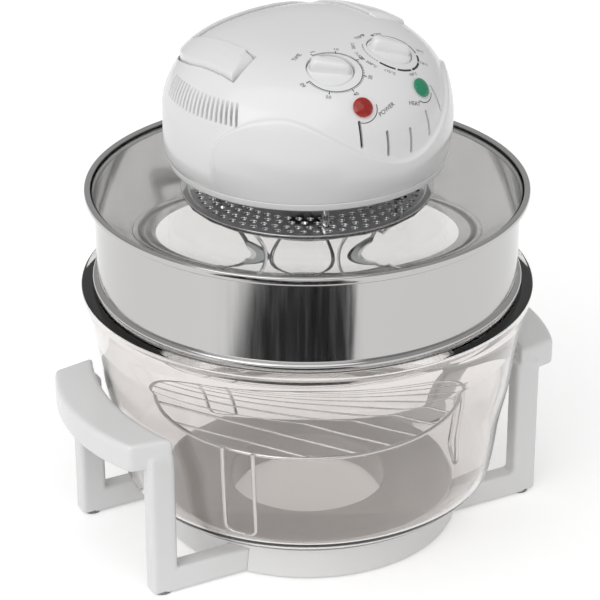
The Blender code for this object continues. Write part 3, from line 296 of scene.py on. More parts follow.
for part in frame["record"]["subparts"]:
    cadNode = nodes[part["node"]]
    cadNode.data.materials.clear()
    cadNode.data.materials.append(looks[part["material_slot"]])
print("materials made")


# Mesh helpers

def addObject(name, mesh):
    obj = bpy.data.objects.new(name, mesh)
    bpy.context.scene.collection.objects.link(obj)
    return obj


def meshFrom(name, points, faces=(), edges=()):
    mesh = bpy.data.meshes.new(name)
    mesh.from_pydata([tuple(point) for point in points], edges, faces)
    return mesh


def objectFrom(name, shape):
    # A new object with the mesh that was built in the shape.
    mesh = bpy.data.meshes.new(name)
    shape.to_mesh(mesh)
    shape.free()
    return addObject(name, mesh)


def faceOutward(mesh):
    shape = bmesh.new()
    shape.from_mesh(mesh)
    bmesh.ops.recalc_face_normals(shape, faces=shape.faces)
    shape.to_mesh(mesh)
    shape.free()


def prismMesh(name, outline, bottom, top):
    count = len(outline)
    points = [(x, y, bottom) for x, y in outline] + [(x, y, top) for x, y in outline]
    faces = [tuple(range(count)), tuple(range(2 * count - 1, count - 1, -1))]
    faces += [(i, i + count, (i + 1) % count + count, (i + 1) % count) for i in range(count)]
    return meshFrom(name, points, faces)


def plainMesh(obj):
    # The object with its modifiers applied, at the origin, as one plain mesh.
    bpy.context.view_layer.update()
    graph = bpy.context.evaluated_depsgraph_get()
    mesh = bpy.data.meshes.new_from_object(obj.evaluated_get(graph))
    mesh.transform(obj.matrix_world)
    name = obj.name
    oldMesh = obj.data
    bpy.data.objects.remove(obj, do_unlink=True)
    if oldMesh.users == 0 and isinstance(oldMesh, bpy.types.Mesh):
        bpy.data.meshes.remove(oldMesh)
    faceOutward(mesh)
    made = addObject(name, mesh)
    mesh.name = name
    return made


def smoothShade(obj, degrees=32):
    obj.data.shade_smooth()
    obj.data.set_sharp_from_angle(angle=math.radians(degrees))
    return obj


def paint(obj, look):
    obj.data.materials.clear()
    obj.data.materials.append(looks[look])
    return obj


def settle(obj, body, look, *replaced):
    # The piece takes its look, moves with its body and stands for the CAD nodes named.
    paint(obj, look)
    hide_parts(*replaced)
    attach(obj, body)
    return obj


def booleanWith(obj, other, operation="DIFFERENCE"):
    modifier = obj.modifiers.new(operation.lower(), "BOOLEAN")
    modifier.operation = operation
    modifier.object = other
    modifier.solver = "EXACT"
    bpy.context.view_layer.update()
    return obj


def discard(*objects):
    for obj in objects:
        bpy.data.objects.remove(obj, do_unlink=True)


# Geometry Nodes trees: one that turns a profile, one that sets copies round an axis, and one
# that lays parallel bars across a circle

def startTree(name, sockets):
    tree = bpy.data.node_groups.new(name, "GeometryNodeTree")
    tree.interface.new_socket("Geometry", in_out="INPUT", socket_type="NodeSocketGeometry")
    for label, kind, value in sockets:
        socket = tree.interface.new_socket(label, in_out="INPUT", socket_type=kind)
        if value is not None:
            socket.default_value = value
    tree.interface.new_socket("Geometry", in_out="OUTPUT", socket_type="NodeSocketGeometry")
    entry = tree.nodes.new("NodeGroupInput")
    leave = tree.nodes.new("NodeGroupOutput")
    return tree, entry, leave


def finishTree(tree, entry, leave, geometry):
    realize = addNode(tree, "GeometryNodeRealizeInstances", inputs={"Geometry": geometry})
    coat = addNode(
        tree, "GeometryNodeSetMaterial",
        inputs={"Geometry": realize.outputs["Geometry"], "Material": entry.outputs["Material"]},
    )
    linkNodes(tree, coat.outputs["Geometry"], leave.inputs["Geometry"])
    return tree


def turnedTree():
    tree, entry, leave = startTree(
        "turnedProfile",
        (("Sides", "NodeSocketInt", 96), ("Material", "NodeSocketMaterial", None)),
    )
    size = addNode(
        tree, "GeometryNodeAttributeDomainSize", {"component": "MESH"},
        {"Geometry": entry.outputs["Geometry"]},
    )
    points = size.outputs["Point Count"]
    sides = entry.outputs["Sides"]
    grid = addNode(tree, "GeometryNodeMeshGrid")
    linkNodes(tree, mathNode(tree, "ADD", sides, 1.0), grid.inputs["Vertices X"])
    linkNodes(tree, points, grid.inputs["Vertices Y"])
    index = addNode(tree, "GeometryNodeInputIndex").outputs["Index"]
    column = mathNode(tree, "FLOOR", mathNode(tree, "DIVIDE", mathNode(tree, "ADD", index, 0.5), points))
    row = mathNode(tree, "SUBTRACT", index, mathNode(tree, "MULTIPLY", column, points))
    sample = addNode(tree, "GeometryNodeSampleIndex", {"data_type": "FLOAT_VECTOR", "domain": "POINT"})
    linkNodes(tree, entry.outputs["Geometry"], sample.inputs["Geometry"])
    place = addNode(tree, "GeometryNodeInputPosition").outputs["Position"]
    linkNodes(tree, place, socketNamed(sample.inputs, "Value"))
    linkNodes(tree, row, sample.inputs["Index"])
    split = addNode(tree, "ShaderNodeSeparateXYZ")
    linkNodes(tree, socketNamed(sample.outputs, "Value"), split.inputs["Vector"])
    angle = mathNode(tree, "DIVIDE", mathNode(tree, "MULTIPLY", column, math.tau), sides)
    reach = split.outputs["X"]
    spot = addNode(
        tree, "ShaderNodeCombineXYZ",
        inputs={
            "X": mathNode(tree, "MULTIPLY", reach, mathNode(tree, "COSINE", angle)),
            "Y": mathNode(tree, "MULTIPLY", reach, mathNode(tree, "SINE", angle)),
            "Z": split.outputs["Z"],
        },
    )
    move = addNode(
        tree, "GeometryNodeSetPosition",
        inputs={"Geometry": grid.outputs["Mesh"], "Position": spot.outputs["Vector"]},
    )
    weld = addNode(
        tree, "GeometryNodeMergeByDistance",
        inputs={"Geometry": move.outputs["Geometry"], "Distance": 0.000002},
    )
    return finishTree(tree, entry, leave, weld.outputs["Geometry"])


def copiesTree():
    tree, entry, leave = startTree(
        "copiesRoundAxis",
        (
            ("Count", "NodeSocketInt", 8), ("First Angle", "NodeSocketFloat", 0.0),
            ("Step Angle", "NodeSocketFloat", 0.1), ("Material", "NodeSocketMaterial", None),
        ),
    )
    line = addNode(tree, "GeometryNodeMeshLine")
    linkNodes(tree, entry.outputs["Count"], line.inputs["Count"])
    line.inputs["Offset"].default_value = (0, 0, 0)
    index = addNode(tree, "GeometryNodeInputIndex").outputs["Index"]
    angle = mathNode(
        tree, "ADD", entry.outputs["First Angle"],
        mathNode(tree, "MULTIPLY", index, entry.outputs["Step Angle"]),
    )
    turn = addNode(tree, "ShaderNodeCombineXYZ", inputs={"Z": angle})
    copies = addNode(tree, "GeometryNodeInstanceOnPoints")
    linkNodes(tree, line.outputs["Mesh"], copies.inputs["Points"])
    linkNodes(tree, entry.outputs["Geometry"], copies.inputs["Instance"])
    linkNodes(tree, turn.outputs["Vector"], copies.inputs["Rotation"])
    return finishTree(tree, entry, leave, copies.outputs["Instances"])


def barsTree():
    tree, entry, leave = startTree(
        "barsAcrossCircle",
        (
            ("Count", "NodeSocketInt", 9), ("Spacing", "NodeSocketFloat", 0.02),
            ("Circle Radius", "NodeSocketFloat", 0.1), ("Bar Radius", "NodeSocketFloat", 0.001),
            ("Bar Drop", "NodeSocketFloat", 0.002), ("Ring Radius", "NodeSocketFloat", 0.0016),
            ("Material", "NodeSocketMaterial", None),
        ),
    )
    count = entry.outputs["Count"]
    radius = entry.outputs["Circle Radius"]
    line = addNode(tree, "GeometryNodeMeshLine")
    linkNodes(tree, count, line.inputs["Count"])
    line.inputs["Offset"].default_value = (0, 0, 0)
    index = addNode(tree, "GeometryNodeInputIndex").outputs["Index"]
    middle = mathNode(tree, "DIVIDE", mathNode(tree, "SUBTRACT", count, 1.0), 2.0)
    across = mathNode(tree, "MULTIPLY", mathNode(tree, "SUBTRACT", index, middle), entry.outputs["Spacing"])
    radiusSquare = mathNode(tree, "MULTIPLY", radius, radius)
    acrossSquare = mathNode(tree, "MULTIPLY", across, across)
    half = mathNode(tree, "SQRT", mathNode(tree, "SUBTRACT", radiusSquare, acrossSquare))
    spot = addNode(
        tree, "ShaderNodeCombineXYZ",
        inputs={"Y": across, "Z": mathNode(tree, "MULTIPLY", entry.outputs["Bar Drop"], -1.0)},
    )
    points = addNode(
        tree, "GeometryNodeSetPosition",
        inputs={"Geometry": line.outputs["Mesh"], "Position": spot.outputs["Vector"]},
    )
    bar = addNode(
        tree, "GeometryNodeMeshCylinder",
        inputs={"Vertices": 20, "Radius": entry.outputs["Bar Radius"], "Depth": 2.0},
    )
    lay = addNode(
        tree, "GeometryNodeTransform",
        inputs={"Geometry": bar.outputs["Mesh"], "Rotation": (0, math.pi / 2, 0)},
    )
    stretch = addNode(tree, "ShaderNodeCombineXYZ", inputs={"X": half, "Y": 1.0, "Z": 1.0})
    bars = addNode(tree, "GeometryNodeInstanceOnPoints")
    linkNodes(tree, points.outputs["Geometry"], bars.inputs["Points"])
    linkNodes(tree, lay.outputs["Geometry"], bars.inputs["Instance"])
    linkNodes(tree, stretch.outputs["Vector"], bars.inputs["Scale"])
    circle = addNode(tree, "GeometryNodeCurvePrimitiveCircle", inputs={"Resolution": 160, "Radius": radius})
    section = addNode(
        tree, "GeometryNodeCurvePrimitiveCircle",
        inputs={"Resolution": 20, "Radius": entry.outputs["Ring Radius"]},
    )
    ring = addNode(
        tree, "GeometryNodeCurveToMesh",
        inputs={"Curve": circle.outputs["Curve"], "Profile Curve": section.outputs["Curve"]},
    )
    both = addNode(tree, "GeometryNodeJoinGeometry")
    linkNodes(tree, bars.outputs["Instances"], both.inputs["Geometry"])
    linkNodes(tree, ring.outputs["Mesh"], both.inputs["Geometry"])
    linkNodes(tree, entry.outputs["Geometry"], both.inputs["Geometry"])
    return finishTree(tree, entry, leave, both.outputs["Geometry"])


trees = {"turned": turnedTree(), "copies": copiesTree(), "bars": barsTree()}


def addTree(obj, tree, values):
    # Puts a tree on the object, with its inputs set by name.
    modifier = obj.modifiers.new(tree.name, "NODES")
    modifier.node_group = tree
    for item in tree.interface.items_tree:
        if item.item_type == "SOCKET" and item.in_out == "INPUT" and item.name in values:
            modifier[item.identifier] = values[item.name]
    return obj


def growWith(obj, tree, values):
    return plainMesh(addTree(obj, tree, values))


def turnedLine(name, profile, look, sides, closed):
    # The profile as a line of edges, with the tree that turns it round the Z axis.
    points = [(reach, 0, height) for reach, height in profile]
    if closed:
        points.append(points[0])
    edges = [(index, index + 1) for index in range(len(points) - 1)]
    obj = addObject(name, meshFrom(name, points, edges=edges))
    return addTree(obj, trees["turned"], {"Sides": sides, "Material": looks[look]})


def turnProfile(name, profile, look, sides=192, closed=True):
    return smoothShade(plainMesh(turnedLine(name, profile, look, sides, closed)))


def roundedProfile(points, radii, steps=5, closed=True):
    # Each corner of the profile becomes an arc-like curve of its own size.
    result = []
    count = len(points)
    for index, point in enumerate(points):
        radius = radii[index] if isinstance(radii, (list, tuple)) else radii
        here = Vector(point)
        if not radius or (not closed and index in (0, count - 1)):
            result.append(tuple(here))
            continue
        before = Vector(points[index - 1]) - here
        after = Vector(points[(index + 1) % count]) - here
        reach = min(radius, before.length * 0.49, after.length * 0.49)
        start = here + before.normalized() * reach
        end = here + after.normalized() * reach
        for step in range(steps + 1):
            share = step / steps
            result.append(
                tuple(start * (1 - share) ** 2 + here * (2 * share * (1 - share)) + end * share**2)
            )
    return result


def joinMeshes(name, objects):
    # Several objects as one mesh in one object.
    shape = bmesh.new()
    for obj in objects:
        shape.from_mesh(obj.data)
    discard(*objects)
    return objectFrom(name, shape)


def growSheet(name, profile, look, thickness, sides=192):
    # A turned sheet: an open profile turned by the tree, then thickened both ways.
    obj = turnedLine(name, profile, look, sides, False)
    sheet = obj.modifiers.new("sheet", "SOLIDIFY")
    sheet.thickness = thickness
    sheet.offset = 0
    return smoothShade(plainMesh(obj))


def curveThrough(points, steps=6):
    # A smooth line through the given points.
    result = []
    count = len(points)
    for index in range(count - 1):
        before = Vector(points[max(index - 1, 0)])
        start = Vector(points[index])
        end = Vector(points[index + 1])
        after = Vector(points[min(index + 2, count - 1)])
        for step in range(steps):
            t = step / steps
            spot = (
                start * 2 + (end - before) * t + (before * 2 - start * 5 + end * 4 - after) * t**2
                + (start * 3 - before - end * 3 + after) * t**3
            ) / 2
            result.append(tuple(spot))
    result.append(tuple(points[-1]))
    return result


def boxAt(name, size, matrix, rounding=0.0, segments=4):
    shape = bmesh.new()
    bmesh.ops.create_cube(shape, size=1.0)
    bmesh.ops.scale(shape, vec=size, verts=shape.verts)
    bmesh.ops.transform(shape, matrix=matrix, verts=shape.verts)
    obj = objectFrom(name, shape)
    if rounding:
        bevel = obj.modifiers.new("rounding", "BEVEL")
        bevel.width = rounding
        bevel.segments = segments
        obj = plainMesh(obj)
    return obj


def rodAt(name, radius, bottom, top, matrix=None, sides=48):
    shape = bmesh.new()
    bmesh.ops.create_cone(
        shape, cap_ends=True, segments=sides, radius1=radius, radius2=radius, depth=top - bottom
    )
    bmesh.ops.translate(shape, vec=(0, 0, (top + bottom) / 2), verts=shape.verts)
    if matrix is not None:
        bmesh.ops.transform(shape, matrix=matrix, verts=shape.verts)
    return objectFrom(name, shape)


def carve(obj, *others):
    for other in others:
        booleanWith(obj, other)
    made = plainMesh(obj)
    discard(*others)
    return made


def unite(obj, *others):
    for other in others:
        booleanWith(obj, other, "UNION")
    made = plainMesh(obj)
    discard(*others)
    return made


def soften(obj, grain, rounds, factor=0.5):
    # Remade as an even skin and eased, so that its edges and inner corners become round.
    skin = obj.modifiers.new("skin", "REMESH")
    skin.mode = "VOXEL"
    skin.voxel_size = grain
    skin.use_smooth_shade = True
    ease = obj.modifiers.new("ease", "SMOOTH")
    ease.factor = factor
    ease.iterations = rounds
    return plainMesh(obj)


# Glass bowl

bowlForm = {
    "rimRadius": 0.1710,
    "height": 0.1730,
    "wall": 0.0045,
    "mouthRadius": 0.1592,
    "rimRounding": 0.0022,
    "mouthBlend": 0.0020,
    "mouthStep": 0.0004,
    "floorStep": 0.0003,
    "outline": (
        (0.998, 0.965), (0.980, 0.915), (0.962, 0.840), (0.939, 0.717), (0.916, 0.550),
        (0.879, 0.370), (0.848, 0.150), (0.807, 0.081), (0.743, 0.035), (0.676, 0.0),
    ),
}


def makeBowl():
    form = bowlForm
    corners = [
        (form["rimRadius"] * reach, level["bowlBottom"] + form["height"] * rise)
        for reach, rise in form["outline"]
    ]
    outer = [Vector(point) for point in curveThrough(corners)]
    inner = []
    for index, point in enumerate(outer):
        before = outer[max(index - 1, 0)]
        after = outer[min(index + 1, len(outer) - 1)]
        along = (after - before).normalized()
        inner.append(point + form["wall"] * Vector((along.y, -along.x)))
    floor = level["bowlBottom"] + form["wall"]
    mouth = level["bowlRim"] - 3 * form["wall"]
    inner = [Vector((form["mouthRadius"], mouth))] + [
        point for point in inner
        if point.x < form["mouthRadius"] - form["mouthStep"] and point.y < mouth - form["mouthBlend"]
    ]
    edge = Vector((inner[-1].x, floor))
    inner = [point for point in inner if point.y > floor + form["floorStep"]] + [edge]
    rim = roundedProfile(
        [
            (form["mouthRadius"], mouth), (form["mouthRadius"], level["bowlRim"]),
            (form["rimRadius"], level["bowlRim"]), tuple(outer[0]),
        ],
        [0, form["rimRounding"], form["rimRounding"], 0], 5, False,
    )
    profile = [(0, floor)] + [tuple(point) for point in reversed(inner[1:])] + rim
    profile += [tuple(point) for point in outer[1:]] + [(0, level["bowlBottom"])]
    bowl = turnProfile("glassBowl", profile, "smoky_glass", 192, False)
    settle(bowl, "bowl", "smoky_glass", "glass_bowl")


makeBowl()
print("bowl made")


# Extender ring

ringForm = {
    "sheet": 0.001,
    "bodyRadius": 0.1580,
    "beadRadius": 0.1615,
    "beadBottom": 0.1998,
    "beadTop": 0.2056,
    "collarBottom": 0.1913,
    "wallRadius": 0.1618,
    "rimRadius": 0.1655,
    "shelf": 0.2678,
    "rimDrop": 0.0032,
    "rimTuck": 0.0004,
    "wallTuck": 0.0006,
    "beadRise": 0.0010,
    "radii": (0, 0.0014, 0.0004, 0.0014, 0.0010, 0.0010, 0.0008, 0.0018, 0.0018, 0.0008, 0),
}


def makeRing():
    form = ringForm
    top = level["ringTop"]
    rimTop = top - form["rimTuck"]
    corners = [
        (form["rimRadius"], top - form["rimDrop"]), (form["rimRadius"], rimTop),
        ((form["rimRadius"] + form["wallRadius"]) / 2, rimTop),
        (form["wallRadius"], top - form["wallTuck"]),
        (form["wallRadius"], form["shelf"] + form["wallTuck"]), (form["bodyRadius"], form["shelf"]),
        (form["bodyRadius"], form["beadTop"] + form["beadRise"]), (form["beadRadius"], form["beadTop"]),
        (form["beadRadius"], form["beadBottom"]), (form["bodyRadius"], form["beadBottom"]),
        (form["bodyRadius"], form["collarBottom"]),
    ]
    profile = roundedProfile(corners, form["radii"], 5, False)
    ring = growSheet("extenderRing", profile, "stainless_sheet", form["sheet"])
    settle(ring, "ring", "stainless_sheet", "extender_ring")


makeRing()
print("ring made")


# Lid glass, pan and posts

lidForm = {"radius": 0.1608, "hole": 0.0902, "edge": 0.0014, "holeEdge": 0.0005}
panForm = {
    "rimRadius": 0.0942,
    "wellRadius": 0.0898,
    "sheet": 0.001,
    "rimTop": 0.2747,
    "rimBottom": 0.2735,
    "plateTop": 0.2717,
    "shaftHole": 0.012,
    "rows": ((0.0812, 54, 0.0), (0.0737, 54, 0.5), (0.0660, 45, 0.0), (0.0585, 45, 0.5)),
    "holeRadius": 0.0027,
    "radii": (0.0005, 0.0004, 0.0003, 0.0006, 0.0003, 0.0003, 0.0006, 0.0008),
}
postForm = {
    "radius": 0.0036, "x": 0.0366, "y": 0.0610, "neckShare": 0.82, "headHeight": 0.003,
    "neckTop": 0.0038, "neckFoot": 0.0046, "edge": 0.0004, "soft": 0.0003,
}


def makeLid():
    form = lidForm
    profile = roundedProfile(
        [
            (form["radius"], level["lidTop"]), (form["radius"], level["lidBottom"]),
            (form["hole"], level["lidBottom"]), (form["hole"], level["lidTop"]),
        ],
        [form["edge"], form["edge"], form["holeEdge"], form["holeEdge"]],
    )
    lid = turnProfile("glassLid", profile, "clear_glass")
    settle(lid, "lid", "clear_glass", "glass_lid")


def makePan():
    form = panForm
    sheet = form["sheet"]
    well = form["wellRadius"]
    under = form["plateTop"] - sheet
    profile = roundedProfile(
        [
            (form["rimRadius"], form["rimTop"]), (form["rimRadius"], form["rimBottom"]),
            (well, form["rimBottom"]), (well - sheet, under), (form["shaftHole"], under),
            (form["shaftHole"], form["plateTop"]), (well - 2 * sheet, form["plateTop"]),
            (well - sheet, form["rimTop"]),
        ],
        form["radii"],
    )
    pan = turnProfile("heatShieldPan", profile, "chrome_wire", 216)
    drills = []
    for row, (reach, count, shift) in enumerate(form["rows"]):
        step = math.tau / count
        drill = rodAt(
            f"panDrill{row}", form["holeRadius"], under - overrun, form["plateTop"] + overrun,
            Matrix.Translation((reach, 0, 0)), 20,
        )
        values = {
            "Count": count, "First Angle": shift * step, "Step Angle": step,
            "Material": looks["chrome_wire"],
        }
        drills.append(growWith(drill, trees["copies"], values))
    pan = carve(pan, *drills)
    smoothShade(pan, 30)
    settle(pan, "lid", "chrome_wire", "heat_shield_pan")


def makePosts():
    form = postForm
    foot = panForm["plateTop"] + slip
    head = level["flangeBottom"] - slip
    radius = form["radius"]
    neck = radius * form["neckShare"]
    edge = form["edge"]
    soft = form["soft"]
    profile = roundedProfile(
        [
            (0, head), (radius, head), (radius, head - form["headHeight"]),
            (neck, head - form["neckTop"]), (neck, foot + form["neckFoot"]),
            (radius, foot + form["neckTop"]), (radius, foot), (0, foot),
        ],
        [0, edge, soft, soft, soft, soft, edge, 0], 3, False,
    )
    for side, sideName in ((1, "right"), (-1, "left")):
        for row, rowName in ((1, "rear"), (-1, "front")):
            name = "spacerPost" + sideName.title() + rowName.title()
            post = turnProfile(name, profile, "stainless_sheet", 40, False)
            spot = headMatrix @ Vector((side * form["x"], row * form["y"], 0))
            post.data.transform(Matrix.Translation((spot.x, spot.y, 0)))
            settle(post, "lid", "stainless_sheet", f"spacer_post_{sideName}_{rowName}")


makeLid()
makePan()
makePosts()
print("lid glass, pan and posts made")


# Wire rack

rackForm = {
    "radius": 0.1185, "height": 0.0765, "bars": 10, "spacing": 0.0222, "footRadius": 0.1160,
    "footLift": 0.0018, "legStart": math.radians(-23), "ringWire": 0.0016, "barWire": 0.0011,
    "sink": 0.0009, "legHalf": 0.0125, "legBend": 0.009, "turn": math.radians(-56), "legs": 3,
}


def wireThrough(name, points, radius, look):
    curve = bpy.data.curves.new(name, "CURVE")
    curve.dimensions = "3D"
    curve.bevel_depth = radius
    curve.bevel_resolution = 4
    curve.use_fill_caps = True
    spline = curve.splines.new("POLY")
    spline.points.add(len(points) - 1)
    for point, spot in zip(spline.points, points):
        point.co = (*spot, 1)
    obj = addObject(name, curve)
    made = plainMesh(obj)
    return paint(made, look)


def makeRack():
    form = rackForm
    ringWire = form["ringWire"]
    height = level["bowlBottom"] + bowlForm["wall"] + form["height"]
    foot = level["bowlBottom"] + bowlForm["wall"] + form["footLift"] + ringWire - height
    legRadius = form["radius"] + 2 * ringWire - form["sink"]
    half = form["legHalf"]
    path = [
        (legRadius, -half, ringWire), (form["footRadius"], -half, foot),
        (form["footRadius"], half, foot), (legRadius, half, ringWire),
    ]
    legs = []
    bend = form["legBend"]
    for index in range(form["legs"]):
        turn = Matrix.Rotation(form["legStart"] - form["turn"] + math.tau * index / form["legs"], 3, "Z")
        points = roundedProfile([turn @ Vector(point) for point in path], [0, bend, bend, 0], 8, False)
        legs.append(wireThrough(f"rackLeg{index}", points, ringWire, "chrome_wire"))
    rack = joinMeshes("highRack", legs)
    rack.matrix_world = Matrix.Translation((0, 0, height)) @ Matrix.Rotation(form["turn"], 4, "Z")
    rack = growWith(
        rack, trees["bars"],
        {
            "Count": form["bars"], "Spacing": form["spacing"], "Circle Radius": form["radius"],
            "Bar Radius": form["barWire"], "Bar Drop": ringWire + form["barWire"] - form["sink"],
            "Ring Radius": ringWire, "Material": looks["chrome_wire"],
        },
    )
    smoothShade(rack, 40)
    settle(rack, "high_rack", "chrome_wire", "high_rack")


makeRack()
print("rack made")


# Stand

standForm = {
    "bottomRadius": 0.1165, "topRadius": 0.1145, "holeRadius": 0.060, "wall": 0.003, "edge": 0.003,
    "armWidth": 0.015, "armHeight": 0.0195, "armOuterY": 0.0730, "armReach": 0.078,
    "postWidth": 0.021, "postOuterX": 0.1675, "postRounding": 0.0035,
    "gripBottom": 0.1085, "gripHeight": 0.0220, "gripOuterRadius": 0.155, "gripOuterX": 0.197,
    "gripInnerRadius": 0.200, "gripInnerX": 0.162, "gripHalf": 0.074, "gripTaper": 0.006,
    "gripRounding": 0.0052, "padRadius": 0.0065, "padHeight": 0.0035, "screwX": 0.088,
    "screwRadius": 0.0019, "screwHeadRadius": 0.0036, "screwHeadHeight": 0.0022,
    "footEdge": 0.0008, "innerEdge": 0.0015, "slotPast": 0.004, "slotRoom": 0.0006,
    "slotHeightRoom": 0.0046, "armRounding": 0.0015, "drillTop": 0.030, "grain": 0.0011, "easing": 6,
}


def makeStandBase():
    form = standForm
    floor = level["standFloor"]
    top = level["baseTop"]
    wall = form["wall"]
    foot = form["footEdge"]
    inner = form["innerEdge"]
    profile = roundedProfile(
        [
            (form["topRadius"], top), (form["bottomRadius"], floor),
            (form["bottomRadius"] - wall, floor), (form["topRadius"] - wall, top - wall),
            (form["holeRadius"] + wall, top - wall), (form["holeRadius"] + wall, floor),
            (form["holeRadius"], floor), (form["holeRadius"], top),
        ],
        [form["edge"], foot, foot, inner, inner, foot, foot, form["edge"]],
    )
    base = turnProfile("standBase", profile, "white_plastic")
    slots = []
    middle = form["armOuterY"] - form["armWidth"] / 2
    length = form["bottomRadius"] + form["slotPast"] - form["armReach"]
    height = floor + form["armHeight"] / 2 - overrun
    size = (length, form["armWidth"] + form["slotRoom"], form["armHeight"] + form["slotHeightRoom"])
    for side in (1, -1):
        for row in (1, -1):
            spot = (side * (form["armReach"] + length / 2), row * middle, height)
            slots.append(boxAt(f"armSlot{side}{row}", size, Matrix.Translation(spot)))
    base = smoothShade(carve(base, *slots))
    settle(base, "stand", "white_plastic", "stand_base")


def makeStandFrame(node, side):
    form = standForm
    floor = level["standFloor"]
    steps = 28
    outerCentre = form["gripOuterX"] - form["gripOuterRadius"]
    innerCentre = form["gripInnerX"] - form["gripInnerRadius"]
    outline = []
    for step in range(steps + 1):
        y = (form["gripHalf"] - form["gripTaper"]) * (2 * step / steps - 1)
        outline.append((side * (outerCentre + math.sqrt(form["gripOuterRadius"] ** 2 - y * y)), y))
    for step in range(steps + 1):
        y = form["gripHalf"] * (1 - 2 * step / steps)
        outline.append((side * (innerCentre + math.sqrt(form["gripInnerRadius"] ** 2 - y * y)), y))
    bottom = form["gripBottom"]
    top = bottom + form["gripHeight"]
    name = "standFrameRight" if side > 0 else "standFrameLeft"
    grip = addObject(name, prismMesh(name, outline, bottom, top))
    bevel = grip.modifiers.new("rounding", "BEVEL")
    bevel.width = form["gripRounding"]
    bevel.segments = 5
    bevel.limit_method = "ANGLE"
    grip = plainMesh(grip)
    middle = form["armOuterY"] - form["armWidth"] / 2
    postX = form["postOuterX"] - form["postWidth"] / 2
    postTop = bottom + form["gripHeight"] / 2
    inner = form["armReach"]
    parts = []
    for row in (1, -1):
        spot = Matrix.Translation((side * postX, row * middle, (postTop + floor) / 2))
        size = (form["postWidth"], form["armWidth"], postTop - floor)
        parts.append(boxAt(f"{name}Post{row}", size, spot, form["postRounding"]))
        spot = Matrix.Translation((side * (postX + inner) / 2, row * middle, floor + form["armHeight"] / 2))
        size = (postX - inner, form["armWidth"], form["armHeight"])
        parts.append(boxAt(f"{name}Arm{row}", size, spot, form["armRounding"]))
    body = soften(unite(grip, *parts), form["grain"], form["easing"])
    drills = []
    for row in (1, -1):
        pad = rodAt(
            f"{name}Pad{row}", form["padRadius"] + slip, -overrun, form["padHeight"] + slip,
            Matrix.Translation((side * postX, row * middle, 0)),
        )
        atScrew = Matrix.Translation((side * form["screwX"], row * middle, 0))
        shank = rodAt(
            f"{name}Shank{row}", form["screwRadius"] + slip, -overrun, form["drillTop"], atScrew
        )
        seat = rodAt(
            f"{name}Seat{row}", form["screwHeadRadius"] + slip, -overrun,
            floor + form["screwHeadHeight"] + slip, atScrew,
        )
        drills += [pad, shank, seat]
    body = smoothShade(carve(body, *drills), 40)
    settle(body, "stand", "white_plastic", node)


makeStandBase()
makeStandFrame("stand_frame_right", 1)
makeStandFrame("stand_frame_left", -1)
print("stand made")


# Head: plan, crown and skirt as in the CAD, with finer steps

headForm = {
    "wall": 0.003, "foot": 0.1042, "shoulder": 0.0372, "rise": 0.0563, "planPower": 3.48,
    "risePower": 1.97, "tilt": 0.04, "mean": 0.1045, "front": 0.0044, "side": -0.0052,
    "nose": 0.0026, "step": 0.0035, "skirtLow": 0.0242, "skirtHigh": 0.0612, "skirtEnd": 0.0200,
    "ledge": 0.0012, "peakAngle": math.radians(52), "endAngle": math.radians(81),
    "columns": 240, "crownSteps": 15, "wallSteps": 9, "wallPower": 2.7, "ledgeRounding": 0.0022,
    "fadeAngle": math.radians(5), "cutColumns": 96, "skinColumns": 160, "extend": 0.004,
}


def smoothShare(share):
    return share * share * (3 - 2 * share)


def planRadius(angle):
    form = headForm
    return (
        form["mean"] + form["front"] * math.cos(angle) + form["side"] * math.cos(2 * angle)
        + form["nose"] * math.cos(3 * angle)
    )


def crownHeight(reach, angle, inset=0.0, drop=0.0):
    form = headForm
    share = min(reach / (planRadius(angle) - inset), 1.0)
    rise = (1 - share ** form["planPower"]) ** (1 / form["risePower"])
    tilt = form["tilt"] * reach * math.cos(angle)
    return level["coverBottom"] + form["shoulder"] - drop + form["rise"] * rise - tilt


def ledgeHeight(angle):
    form = headForm
    turn = abs(angle)
    if turn <= form["peakAngle"]:
        share = smoothShare(turn / form["peakAngle"])
        return level["coverBottom"] + form["skirtLow"] + (form["skirtHigh"] - form["skirtLow"]) * share
    if turn <= form["endAngle"]:
        share = (turn - form["peakAngle"]) / (form["endAngle"] - form["peakAngle"])
        fall = math.sqrt(max(1 - share * share, 0))
        return level["coverBottom"] + form["skirtEnd"] + (form["skirtHigh"] - form["skirtEnd"]) * fall
    return level["coverBottom"] + form["skirtEnd"]


def headColumn(angle, inset, drop, step):
    form = headForm
    edge = planRadius(angle) - inset
    foot = form["foot"] - inset
    bottom = level["coverBottom"]
    ledge = ledgeHeight(angle)
    fade = min(max((form["endAngle"] - abs(angle)) / form["fadeAngle"], 0.0), 1.0)
    step = step * smoothShare(fade)
    shoulder = bottom + form["shoulder"] - drop - form["tilt"] * edge * math.cos(angle)
    rise = (ledge + form["ledge"] - shoulder) / form["rise"]
    start = math.asin(rise ** (form["risePower"] / 2)) if rise > 0 else 0.0
    ledgeReach = edge * math.cos(start) ** (2 / form["planPower"])
    column = []
    for index in range(form["wallSteps"]):
        t = index / form["wallSteps"]
        out = 1 - (1 - t) ** form["wallPower"]
        reach = foot + (edge + step - foot) * out - (edge - ledgeReach) * t**3
        column.append((reach, bottom + (ledge - bottom) * t))
    column.append((ledgeReach + step, ledge))
    if rise > 0:
        column.append((ledgeReach, crownHeight(ledgeReach, angle, inset, drop)))
    else:
        column.append((edge, ledge + form["ledge"]))
    for index in range(1, form["crownSteps"]):
        share = index / form["crownSteps"]
        turn = start + (math.pi / 2 - start) * share
        reach = edge * math.cos(turn) ** (2 / form["planPower"])
        column.append((reach, crownHeight(reach, angle, inset, drop)))
    corner = form["wallSteps"]
    radii = [0.0] * len(column)
    radii[corner] = form["ledgeRounding"]
    radii[corner + 1] = form["ledgeRounding"]
    return roundedProfile(column, radii, 5, False)


